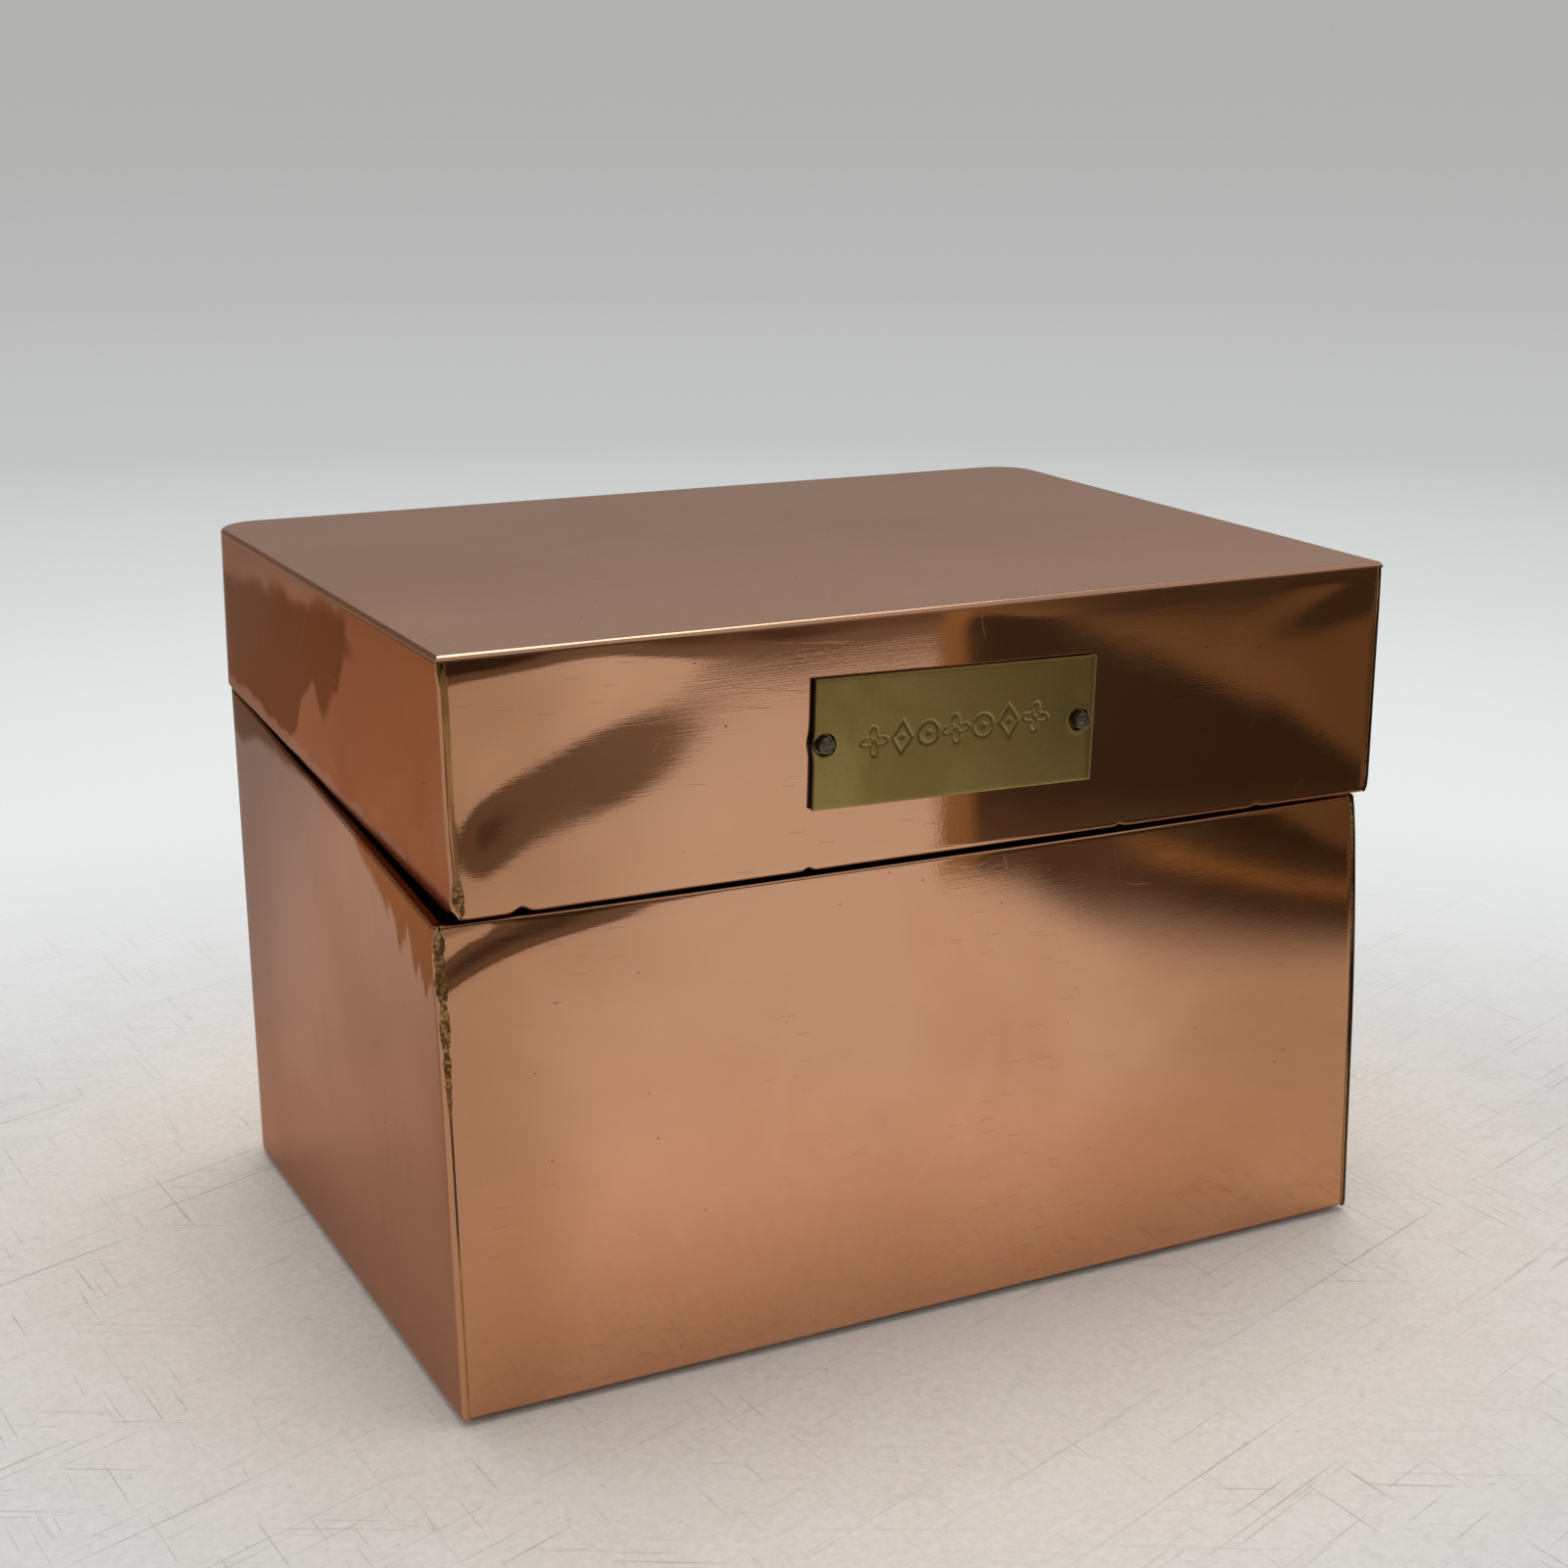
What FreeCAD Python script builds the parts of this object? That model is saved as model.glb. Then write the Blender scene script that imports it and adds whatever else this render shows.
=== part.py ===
import FreeCAD, Part
import math
import os
from FreeCAD import Vector

# Card file box of hand-soldered copper sheet: a body and a hinged lid that meet at a sloping seam.
# Millimetres, +Z up, the front faces -Y. The origin is the middle of the face that the box rests on.

# ---- Overall size ------------------------------------------------------------------------------
box_width = 165.0            # across the front, at the foot
box_depth = 116.5            # front wall to back wall, over the sheet
box_height = 118.0           # table to the top of the lid
front_seam_height = 77.8     # rim of the body at the middle of the front wall
back_seam_height = 89.1      # rim of the body at the middle of the back wall
seam_fall = 2.4              # right end of the body's rim below its left end
top_fall = 1.2               # right end of the lid's top below its left end
left_seam_gap = 0.5          # daylight between the rims of body and lid when closed
right_seam_gap = 1.0

# ---- Sheet and joints --------------------------------------------------------------------------
sheet = 1.0                  # copper sheet
back_bend = 8.0              # outer radius of the upright bends at the back corners
hem_depth = 4.5              # sheet folded back inside each rim
hem_round = 0.9              # rounding of the folded rims
edge_round = 0.8             # polished rounding of the foot and of the lid's top edges
solder_gap = 0.25            # joint between two butted sheets, filled with solder
solder_leg = 1.8             # legs of the solder fillets inside the corners
solder_skin = 0.04           # solder rings clear of the walls they run along

# ---- How far the hand-made side walls stand out of square, positive towards +X ------------------
# Each list: left wall at the front, left wall at the back, right wall at the front, right at the back.
body_foot_shift = [-0.4, 0.0, 0.0, 0.0]
body_rim_shift = [-2.4, -0.6, -2.2, -0.6]
lid_rim_shift = [1.0, -1.2, -1.0, -0.3]
lid_top_shift = [-0.1, -0.8, -0.6, -0.3]

# ---- Base pad ----------------------------------------------------------------------------------
felt_thickness = 1.0
felt_inset = 1.6             # felt edge inside the walls' outer face

# ---- Strip hinge on the outside of the back wall -----------------------------------------------
hinge_length = 139.7
knuckle_count = 11
knuckle_play = 0.15          # end play on each side of a knuckle
hinge_pin_radius = 1.0
hinge_pin_clearance = 0.05
leaf_thickness = 0.9
leaf_height = 10.5           # from the pin axis to the free edge of a leaf
barrel_standoff = 0.25       # knuckles clear of the wall
leaf_notch = 0.3             # notch round the other leaf's knuckles

# ---- Rivets of the hinge leaves ----------------------------------------------------------------
rivet_count = 5
rivet_end_margin = 10.0      # outer rivets from the ends of the hinge
rivet_from_axis = 7.6        # rivet row from the pin axis
rivet_radius = 1.0
rivet_clearance = 0.05
rivet_head_radius = 1.9
rivet_head_height = 0.75
rivet_head_round = 0.5
rivet_tail_radius = 1.6
rivet_tail_height = 0.5

# ---- Name plate and its pins -------------------------------------------------------------------
plate_width = 49.3
plate_height = 20.0
plate_thickness = 0.8
plate_standoff = 0.3         # plate stands off the lid's front wall
plate_centre_x = 0.0
plate_centre_height = 97.9
plate_tilt = 1.6             # degrees, right-hand end low
plate_corner_round = 0.3
plate_pin_radius = 1.35
plate_pin_clearance = 0.05
plate_pin_margin = [1.8, 2.8]    # pin centres from the left and the right end of the plate
plate_pin_proud = [0.9, 1.4]     # ends of the left and the right pin in front of the plate
plate_pin_head_radius = 2.6
plate_pin_head_height = 0.8

# ---- Values that follow ------------------------------------------------------------------------
half_width = box_width / 2
front_y = -box_depth / 2
back_y = box_depth / 2
foot_z = felt_thickness
lid_wall_top = box_height - sheet    # at the left end
top_turn = math.degrees(math.atan(top_fall / box_width))
seam_slope = (back_seam_height - front_seam_height) / box_depth
knuckle_radius = hinge_pin_radius + hinge_pin_clearance + leaf_thickness
axis_y = back_y + barrel_standoff + knuckle_radius
axis_z = back_seam_height + (left_seam_gap + right_seam_gap) / 4
knuckle_pitch = hinge_length / knuckle_count
reach = 2 * (box_width + box_depth + box_height)   # larger than the whole box, for cutters
seam_turn = 37.0                                   # degrees, see rod_y
rivet_strip_half = rivet_radius + 0.6              # half the height of the strip round a row of rivets

os.makedirs("parts", exist_ok=True)


def export(name, shape):
    """Write one sub-part and say what it is made of."""
    shape.exportStep("parts/" + name + ".step")
    print(name, "solids", len(shape.Solids), "valid", shape.isValid(), "volume %.1f" % shape.Volume)


# ---- Plan outlines of the walls ----------------------------------------------------------------
def blend(low, high, share):
    """Wall shifts a share of the way from one level to another."""
    return [a + (b - a) * share for a, b in zip(low, high)]


def body_shift(z):
    """Wall shifts of the body at height z."""
    return blend(body_foot_shift, body_rim_shift, (z - foot_z) / (back_seam_height - foot_z))


def lid_shift(z):
    """Wall shifts of the lid at height z."""
    return blend(lid_rim_shift, lid_top_shift, (z - front_seam_height) / (lid_wall_top - front_seam_height))


def side_wall(shift, inset, side, start_y, z):
    """One side wall in plan: its front end, where its bend starts, mid-bend and where the bend ends."""
    front_shift, back_shift = shift[:2] if side < 0 else shift[2:]
    front_x = side * half_width + front_shift
    back_x = side * half_width + back_shift
    centre_x, centre_y = back_x - side * back_bend, back_y - back_bend
    away_x, away_y = side * (front_x - centre_x), front_y - centre_y
    normal = math.atan2(away_y, away_x) + math.acos(back_bend / math.hypot(away_x, away_y))
    radius = back_bend - inset

    def on_bend(angle):
        return Vector(centre_x + side * radius * math.cos(angle), centre_y + radius * math.sin(angle), z)

    bend_start = on_bend(normal)
    run_x, run_y = side * math.sin(normal), -math.cos(normal)
    start = bend_start + Vector(run_x, run_y, 0) * ((start_y - bend_start.y) / run_y)
    return start, bend_start, on_bend((normal + math.pi / 2) / 2), on_bend(math.pi / 2)


def back_path(shift, inset, start_y, z):
    """Edges from the left wall's front end round the back to the right wall's front end."""
    left_start, left_end, left_mid, back_left = side_wall(shift, inset, -1, start_y, z)
    right_start, right_end, right_mid, back_right = side_wall(shift, inset, 1, start_y, z)
    edges = [
        Part.makeLine(left_start, left_end),
        Part.Arc(left_end, left_mid, back_left).toShape(),
        Part.makeLine(back_left, back_right),
        Part.Arc(back_right, right_mid, right_end).toShape(),
        Part.makeLine(right_end, right_start),
    ]
    return edges, left_start, right_start


def band_wire(shift, outer_inset, inner_inset, start_y, z):
    """Closed outline of a strip that runs along the left, back and right walls."""
    outer, outer_left, outer_right = back_path(shift, outer_inset, start_y, z)
    inner, inner_left, inner_right = back_path(shift, inner_inset, start_y, z)
    ends = [Part.makeLine(outer_right, inner_right), Part.makeLine(inner_left, outer_left)]
    return Part.Wire(Part.__sortEdges__(outer + [ends[0]] + inner[::-1] + [ends[1]]))


def panel_wire(shift, inset, z):
    """Closed outline of the whole box in plan, moved in by inset."""
    edges, left, right = back_path(shift, inset, front_y + inset, z)
    return Part.Wire(Part.__sortEdges__(edges + [Part.makeLine(right, left)]))


def between(low_wire, high_wire):
    """Solid with straight walls from one outline up to the other."""
    return Part.makeLoft([low_wire, high_wire], True, True)


def polygon(points, z):
    """Closed wire through plan points at height z."""
    ring = [Vector(x, y, z) for x, y in points]
    return Part.makePolygon(ring + ring[:1])


# ---- The sloping seam and the sloping top ------------------------------------------------------
def from_left(x):
    """Share of the way from the left end of the box to its right end."""
    return x / box_width + 0.5


def body_rim(x, y):
    """Height of the body's rim."""
    return front_seam_height + seam_slope * (y - front_y) - seam_fall * (from_left(x) - 0.5)


def lid_rim(x, y):
    """Height of the lid's rim."""
    return body_rim(x, y) + left_seam_gap + (right_seam_gap - left_seam_gap) * from_left(x)


def lid_top_face(x, _y):
    """Height of the lid's top face, which is level from front to back."""
    return box_height - top_fall * from_left(x)


def half_space(height, offset, upwards):
    """Everything above or below a sloping plane that is moved up by offset."""
    far = reach if upwards else -reach
    points = [(-reach, height(-reach, -reach) + offset), (reach, height(-reach, reach) + offset),
              (reach, far), (-reach, far)]
    ring = [Vector(-reach, y, z) for y, z in points]
    run = Vector(2 * reach, 0, height(reach, 0) - height(-reach, 0))
    return Part.Face(Part.makePolygon(ring + ring[:1])).extrude(run)


def on_plane(edge, height):
    """True when both ends and the middle of an edge lie on a sloping plane."""
    first, last = edge.ParameterRange
    points = [edge.valueAt(first), edge.valueAt((first + last) / 2), edge.valueAt(last)]
    return all(abs(p.z - height(p.x, p.y)) < 0.001 for p in points)


def rim_edges(shape, height):
    """Long edges of a rim: those that follow the wall, without the short ones across the sheet."""
    return [e for e in shape.Edges if on_plane(e, height) and e.Length > 2.5 * sheet]


def middle(edge):
    """Middle point of an edge."""
    first, last = edge.ParameterRange
    return edge.valueAt((first + last) / 2)


def edges_along(shape, guides):
    """Edges of a shape that share their middle point with one of the guide edges."""
    marks = [middle(guide) for guide in guides]
    return [e for e in shape.Edges if any(middle(e).distanceToPoint(m) < 0.001 for m in marks)]


# ---- Round rods and rivet holes ----------------------------------------------------------------
def rivet_positions(side):
    """Rivet centres on one leaf: side is -1 on the body and +1 on the lid."""
    span = hinge_length - 2 * rivet_end_margin
    return [(-span / 2 + span * i / (rivet_count - 1), axis_z + side * rivet_from_axis)
            for i in range(rivet_count)]


def rod_y(x, z, start_y, end_y, radius):
    """Cylinder along Y, turned so that its seam line stays clear of the middle line of a wall."""
    rod = Part.makeCylinder(radius, end_y - start_y, Vector(x, start_y, z), Vector(0, 1, 0))
    rod.rotate(Vector(x, start_y, z), Vector(0, 1, 0), seam_turn)
    return rod


def drill_rivets(shape, side):
    """Rivet holes through a leaf or a strip of the back wall."""
    for x, z in rivet_positions(side):
        shape = shape.cut(rod_y(x, z, back_y - 2 * sheet, axis_y, rivet_radius + rivet_clearance))
    return shape


def rivet_strip(side, start_y, end_y):
    """Upright block along one row of rivets."""
    strip = Part.makeBox(hinge_length - rivet_end_margin, end_y - start_y, 2 * rivet_strip_half)
    strip.translate(Vector(-(hinge_length - rivet_end_margin) / 2, start_y,
                           axis_z + side * rivet_from_axis - rivet_strip_half))
    return strip


def drill_wall(wall, side):
    """Rivet holes in a back wall: the strip along their row is let out, drilled and put back."""
    window = wall.cut(rivet_strip(side, back_y - 2 * sheet, back_y + sheet))
    return window.fuse(drill_rivets(rivet_strip(side, back_y - sheet, back_y), side)).removeSplitter()


# ---- Sheet pieces shared by body and lid -------------------------------------------------------
def wrap(shift, low_z, high_z, keep, hem_keep, rivet_side):
    """One sheet bent round the left, back and right sides, drilled for the hinge, its rim folded inwards."""
    wall = between(band_wire(shift(low_z), 0, sheet, front_y, low_z),
                   band_wire(shift(high_z), 0, sheet, front_y, high_z))
    hem_start = front_y + sheet + solder_gap
    hem = between(band_wire(shift(low_z), sheet, 2 * sheet, hem_start, low_z),
                  band_wire(shift(high_z), sheet, 2 * sheet, hem_start, high_z))
    hem = hem.common(keep).common(hem_keep)
    return drill_wall(wall.common(keep), rivet_side).fuse(hem).removeSplitter()


def front_panel(shift, low_z, high_z, keep, hem_keep):
    """Flat front sheet that stands between the side walls, with its rim folded inwards."""
    def outline(z, more, y0, y1):
        ring = []
        for end, y in [(-1, y0), (1, y0), (1, y1), (-1, y1)]:
            on_wall = side_wall(shift(z), sheet, end, y, z)[0]
            ring.append((on_wall.x - end * (solder_gap + more), y))
        return polygon(ring, z)

    inner_y = front_y + sheet
    wall = between(outline(low_z, 0, front_y, inner_y), outline(high_z, 0, front_y, inner_y))
    hem_y = inner_y + sheet
    hem = between(outline(low_z, sheet, inner_y, hem_y), outline(high_z, sheet, inner_y, hem_y))
    hem = hem.common(keep).common(hem_keep)
    return wall.common(keep).fuse(hem).removeSplitter()


def corner_seam(shift, low_z, high_z, side, strip_keep, fillet_keep):
    """Solder in one front corner: a strip in the joint and a fillet behind it."""
    def at(z, points):
        ring = []
        for x, y in points:
            on_wall = side_wall(shift(z), sheet, side, front_y + y, z)[0]
            ring.append((on_wall.x - side * x, front_y + y))
        return polygon(ring, z)

    strip = [(0, 0), (solder_gap, 0), (solder_gap, sheet), (0, sheet)]
    fillet = [(0, sheet), (solder_gap + solder_leg, sheet), (0, sheet + solder_gap + solder_leg)]
    strip_solid = between(at(low_z, strip), at(high_z, strip)).common(strip_keep)
    fillet_solid = between(at(low_z, fillet), at(high_z, fillet)).common(fillet_keep)
    return strip_solid.fuse(fillet_solid).removeSplitter()


def level_slab(low_z, high_z):
    """Everything between two levels."""
    slab = Part.makeBox(2 * reach, 2 * reach, high_z - low_z)
    slab.translate(Vector(-reach, -reach, low_z))
    return slab


# ---- Body --------------------------------------------------------------------------------------
body_top = max(front_seam_height, back_seam_height) + seam_fall
below_rim = half_space(body_rim, 0, False)
above_hem = half_space(body_rim, -hem_depth, True)
panel_top = foot_z + sheet
fillet_top = panel_top + solder_leg


def make_body_wrap():
    shape = wrap(body_shift, foot_z, body_top, below_rim, above_hem, -1)
    shape = shape.makeFillet(hem_round, rim_edges(shape, body_rim))
    foot_path = back_path(body_shift(foot_z), 0, front_y, foot_z)[0]
    return shape.makeFillet(edge_round, edges_along(shape, foot_path))


def make_body_front():
    shape = front_panel(body_shift, foot_z, body_top, below_rim, above_hem)
    shape = shape.makeFillet(hem_round, rim_edges(shape, body_rim))
    foot_corners = [side_wall(body_shift(foot_z), sheet, side, front_y, foot_z)[0] for side in (-1, 1)]
    foot_middle = (foot_corners[0] + foot_corners[1]) / 2
    foot_edge = [e for e in shape.Edges if middle(e).distanceToPoint(foot_middle) < 0.001]
    return shape.makeFillet(edge_round, foot_edge)


def make_body_seam(side):
    strip_keep = half_space(body_rim, -hem_round, False).common(level_slab(fillet_top, reach))
    fillet_keep = half_space(body_rim, -hem_depth, False).common(level_slab(fillet_top, reach))
    return corner_seam(body_shift, foot_z, body_top, side, strip_keep, fillet_keep)


def body_block(low_z, high_z, low_inset, high_inset):
    """Solid inside the body's walls between two levels."""
    return between(panel_wire(body_shift(low_z), low_inset, low_z),
                   panel_wire(body_shift(high_z), high_inset, high_z))


def make_body_bottom():
    inset = sheet + solder_gap
    return body_block(foot_z, panel_top, inset, inset)


def make_bottom_seam():
    outer = sheet + solder_skin
    joint = sheet + solder_gap
    block = body_block(foot_z, fillet_top, outer, outer)
    panel = body_block(foot_z, panel_top, joint, joint)
    hollow = body_block(panel_top, fillet_top, joint + solder_leg, joint)
    return block.cut(panel).cut(hollow)


def make_base_felt():
    shift = body_shift(foot_z)
    return between(panel_wire(shift, felt_inset, 0), panel_wire(shift, felt_inset, felt_thickness))


# ---- Lid ---------------------------------------------------------------------------------------
lid_low = min(front_seam_height, back_seam_height) - seam_fall
lid_fillet_low = lid_wall_top - solder_leg
below_top = half_space(lid_top_face, -sheet, False)
between_rim_and_top = half_space(lid_rim, 0, True).common(below_top)
below_lid_hem = half_space(lid_rim, hem_depth, False)


def make_lid_wrap():
    shape = wrap(lid_shift, lid_low, lid_wall_top, between_rim_and_top, below_lid_hem, 1)
    return shape.makeFillet(hem_round, rim_edges(shape, lid_rim))


def plate_turn(shape):
    """Turn a piece from the plate's own square frame to its tilt on the lid."""
    shape.rotate(Vector(0, 0, 0), Vector(0, 1, 0), plate_tilt)
    shape.translate(Vector(plate_centre_x, 0, plate_centre_height))
    return shape


def plate_pin_offsets():
    """Pin centres along the plate, from its middle."""
    return [-plate_width / 2 + plate_pin_margin[0], plate_width / 2 - plate_pin_margin[1]]


def make_lid_front():
    shape = front_panel(lid_shift, lid_low, lid_wall_top, between_rim_and_top, below_lid_hem)
    shape = shape.makeFillet(hem_round, rim_edges(shape, lid_rim))
    for x in plate_pin_offsets():
        hole = rod_y(x, 0, front_y - sheet, front_y + 2 * sheet, plate_pin_radius + plate_pin_clearance)
        shape = shape.cut(plate_turn(hole))
    return shape


def make_lid_top():
    shift = lid_shift(lid_wall_top)
    block = between(panel_wire(shift, 0, lid_wall_top - top_fall - sheet),
                    panel_wire(shift, 0, box_height + sheet))
    shape = block.cut(below_top).common(half_space(lid_top_face, 0, False))
    top_edges = [e for e in shape.Edges if on_plane(e, lid_top_face)]
    return shape.makeFillet(edge_round, top_edges)


def make_lid_seam(side):
    below_fillet = half_space(lid_top_face, -sheet - solder_leg, False)
    strip_keep = half_space(lid_rim, hem_round, True).common(below_fillet)
    fillet_keep = half_space(lid_rim, hem_depth, True).common(below_fillet)
    return corner_seam(lid_shift, lid_low, lid_wall_top, side, strip_keep, fillet_keep)


def make_lid_top_seam():
    outer = sheet + solder_skin
    block = between(panel_wire(lid_shift(lid_fillet_low), outer, lid_fillet_low),
                    panel_wire(lid_shift(lid_wall_top), outer, lid_wall_top))
    joint = sheet + solder_gap
    hollow = between(panel_wire(lid_shift(lid_fillet_low), joint, lid_fillet_low),
                     panel_wire(lid_shift(lid_wall_top), joint + solder_leg, lid_wall_top))
    ring = block.cut(hollow)
    ring.rotate(Vector(-half_width, 0, lid_wall_top), Vector(0, 1, 0), top_turn)
    return ring


# ---- Hinge -------------------------------------------------------------------------------------
def make_leaf(side):
    """One leaf with its knuckles: side is -1 on the body and +1 on the lid."""
    plate_edge = knuckle_radius + leaf_notch
    plate = Part.makeBox(hinge_length, leaf_thickness, leaf_height - plate_edge)
    low = axis_z - leaf_height if side < 0 else axis_z + plate_edge
    plate.translate(Vector(-hinge_length / 2, back_y, low))
    shape = plate
    for i in range(0 if side < 0 else 1, knuckle_count, 2):
        start = -hinge_length / 2 + i * knuckle_pitch + knuckle_play
        length = knuckle_pitch - 2 * knuckle_play
        barrel = Part.makeCylinder(knuckle_radius, length, Vector(start, axis_y, axis_z), Vector(1, 0, 0))
        tab = Part.makeBox(length, leaf_thickness, plate_edge)
        tab.translate(Vector(start, back_y, axis_z - plate_edge if side < 0 else axis_z))
        shape = shape.fuse(barrel).fuse(tab)
    bore = Part.makeCylinder(hinge_pin_radius + hinge_pin_clearance, hinge_length,
                             Vector(-hinge_length / 2, axis_y, axis_z), Vector(1, 0, 0))
    return drill_rivets(shape.cut(bore).removeSplitter(), side)


def make_hinge_pin():
    return Part.makeCylinder(hinge_pin_radius, hinge_length, Vector(-hinge_length / 2, axis_y, axis_z),
                             Vector(1, 0, 0))


def make_rivets(side):
    """Rivets of one leaf: a rounded head outside and a flat tail inside the wall."""
    rivets = []
    leaf_face = back_y + leaf_thickness
    inner_face = back_y - sheet
    for x, z in rivet_positions(side):
        head = rod_y(x, z, leaf_face, leaf_face + rivet_head_height, rivet_head_radius)
        rim = [e for e in head.Edges if abs(e.CenterOfMass.y - leaf_face - rivet_head_height) < 0.001]
        head = head.makeFillet(rivet_head_round, rim)
        shank = rod_y(x, z, inner_face, leaf_face, rivet_radius)
        tail = rod_y(x, z, inner_face - rivet_tail_height, inner_face, rivet_tail_radius)
        rivets.append(head.fuse(shank).fuse(tail).removeSplitter())
    return Part.makeCompound(rivets)


# ---- Name plate --------------------------------------------------------------------------------
def make_name_plate():
    back_face = front_y - plate_standoff
    shape = Part.makeBox(plate_width, plate_thickness, plate_height)
    shape.translate(Vector(-plate_width / 2, back_face - plate_thickness, -plate_height / 2))
    upright = [e for e in shape.Edges if abs(e.Length - plate_thickness) < 0.001]
    shape = shape.makeFillet(plate_corner_round, upright)
    for x in plate_pin_offsets():
        shape = shape.cut(rod_y(x, 0, back_face - 2 * plate_thickness, back_face + plate_thickness,
                                plate_pin_radius + plate_pin_clearance))
    return plate_turn(shape)


def make_plate_pins():
    """Two pins: a flat head inside the lid, the cut end standing proud of the plate."""
    inner_face = front_y + sheet
    plate_face = front_y - plate_standoff - plate_thickness
    pins = []
    for x, proud in zip(plate_pin_offsets(), plate_pin_proud):
        shank = rod_y(x, 0, plate_face - proud, inner_face, plate_pin_radius)
        head = rod_y(x, 0, inner_face, inner_face + plate_pin_head_height, plate_pin_head_radius)
        pins.append(plate_turn(shank.fuse(head).removeSplitter()))
    return Part.makeCompound(pins)


# ---- Write the sub-parts -----------------------------------------------------------------------
export("body_wrap", make_body_wrap())
export("body_front", make_body_front())
export("body_bottom", make_body_bottom())
export("body_left_seam", make_body_seam(-1))
export("body_right_seam", make_body_seam(1))
export("bottom_seam", make_bottom_seam())
export("base_felt", make_base_felt())
export("lid_wrap", make_lid_wrap())
export("lid_front", make_lid_front())
export("lid_top", make_lid_top())
export("lid_left_seam", make_lid_seam(-1))
export("lid_right_seam", make_lid_seam(1))
export("lid_top_seam", make_lid_top_seam())
export("hinge_lower_leaf", make_leaf(-1))
export("hinge_upper_leaf", make_leaf(1))
export("hinge_pin", make_hinge_pin())
export("hinge_lower_rivets", make_rivets(-1))
export("hinge_upper_rivets", make_rivets(1))
export("name_plate", make_name_plate())
export("plate_pins", make_plate_pins())
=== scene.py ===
"""Looks of a card file box of hand-soldered copper sheet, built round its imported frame."""

import math
import bmesh
import bpy
import numpy as np
from bpy.props import FloatProperty, FloatVectorProperty, PointerProperty
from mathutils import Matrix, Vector, noise
from mathutils.bvhtree import BVHTree


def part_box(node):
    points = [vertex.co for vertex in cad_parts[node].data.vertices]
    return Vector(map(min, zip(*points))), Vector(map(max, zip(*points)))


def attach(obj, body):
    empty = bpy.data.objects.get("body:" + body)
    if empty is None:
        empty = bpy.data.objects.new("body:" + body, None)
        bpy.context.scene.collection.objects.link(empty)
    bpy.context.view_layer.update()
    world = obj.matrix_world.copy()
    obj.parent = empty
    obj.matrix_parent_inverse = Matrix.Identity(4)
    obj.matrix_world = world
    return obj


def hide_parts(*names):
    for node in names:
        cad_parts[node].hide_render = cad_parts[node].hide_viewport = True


bl_info = {
    "name": "Copper Card File Box",
    "version": (1, 0, 0),
    "blender": (4, 5, 0),
    "location": "3D View > Sidebar > Card Box",
    "description": "Dresses the frame of a soldered copper card file box",
    "category": "Add Mesh",
}

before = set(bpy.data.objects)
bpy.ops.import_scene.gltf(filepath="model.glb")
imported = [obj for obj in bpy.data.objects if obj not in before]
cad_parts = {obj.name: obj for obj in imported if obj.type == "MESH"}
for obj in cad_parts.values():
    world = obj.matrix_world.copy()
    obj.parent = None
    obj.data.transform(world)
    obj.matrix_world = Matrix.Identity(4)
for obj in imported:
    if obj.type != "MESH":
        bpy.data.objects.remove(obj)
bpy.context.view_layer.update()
MM = 0.001

# ---- Places read from the frame --------
FOOT_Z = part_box("body_wrap")[0].z
FRONT_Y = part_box("body_wrap")[0].y
BACK_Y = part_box("body_wrap")[1].y
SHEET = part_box("body_bottom")[1].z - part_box("body_bottom")[0].z
LID_TOP_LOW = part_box("lid_top")[0].z
RIM_LOW = min(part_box("body_front")[1].z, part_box("lid_front")[0].z)
PLATE_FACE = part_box("name_plate")[0].y


# ---- Settings --------
def length_setting(name, description, default):
    return FloatProperty(name=name, description=description, default=default, unit="LENGTH")


def angle_setting(name, description, degrees):
    return FloatProperty(name=name, description=description, default=math.radians(degrees),
                         subtype="ANGLE", unit="ROTATION")


def colour_setting(name, description, default):
    return FloatVectorProperty(name=name, description=description, default=default, subtype="COLOR")


class SheetSizes(bpy.types.PropertyGroup):
    """Sizes of the copper sheets."""
    back_bend: length_setting("Back bend", "Outer radius of the upright bends at the back corners", 8 * MM)
    hem_depth: length_setting("Hem depth", "Sheet folded back inside each rim", 4.5 * MM)
    rim_round: length_setting("Rim rounding", "Rounding of the folded rims", 0.5 * MM)
    edge_round: length_setting("Edge rounding", "Polished rounding of the foot and the lid's top", 0.8 * MM)
    corner_round: length_setting("Corner rounding", "Filed rounding of the upright front corners", 0.7 * MM)
    joint: length_setting("Joint", "Gap between butted sheets, filled with solder", 0.25 * MM)


class StageSizes(bpy.types.PropertyGroup):
    """Place, aim and lens of the camera."""
    camera_place: FloatVectorProperty(
        name="Camera place", description="Where the camera stands", default=(-0.19135, -0.37921, 0.19641),
        subtype="XYZ", unit="LENGTH")
    camera_heading: angle_setting("Camera heading", "Turn of the view to the right of +Y", 26.802)
    camera_fall: angle_setting("Camera fall", "Fall of the view below the horizon", 16.027)
    lens: FloatProperty(name="Lens", description="Focal length in millimetres", default=58.0)


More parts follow.
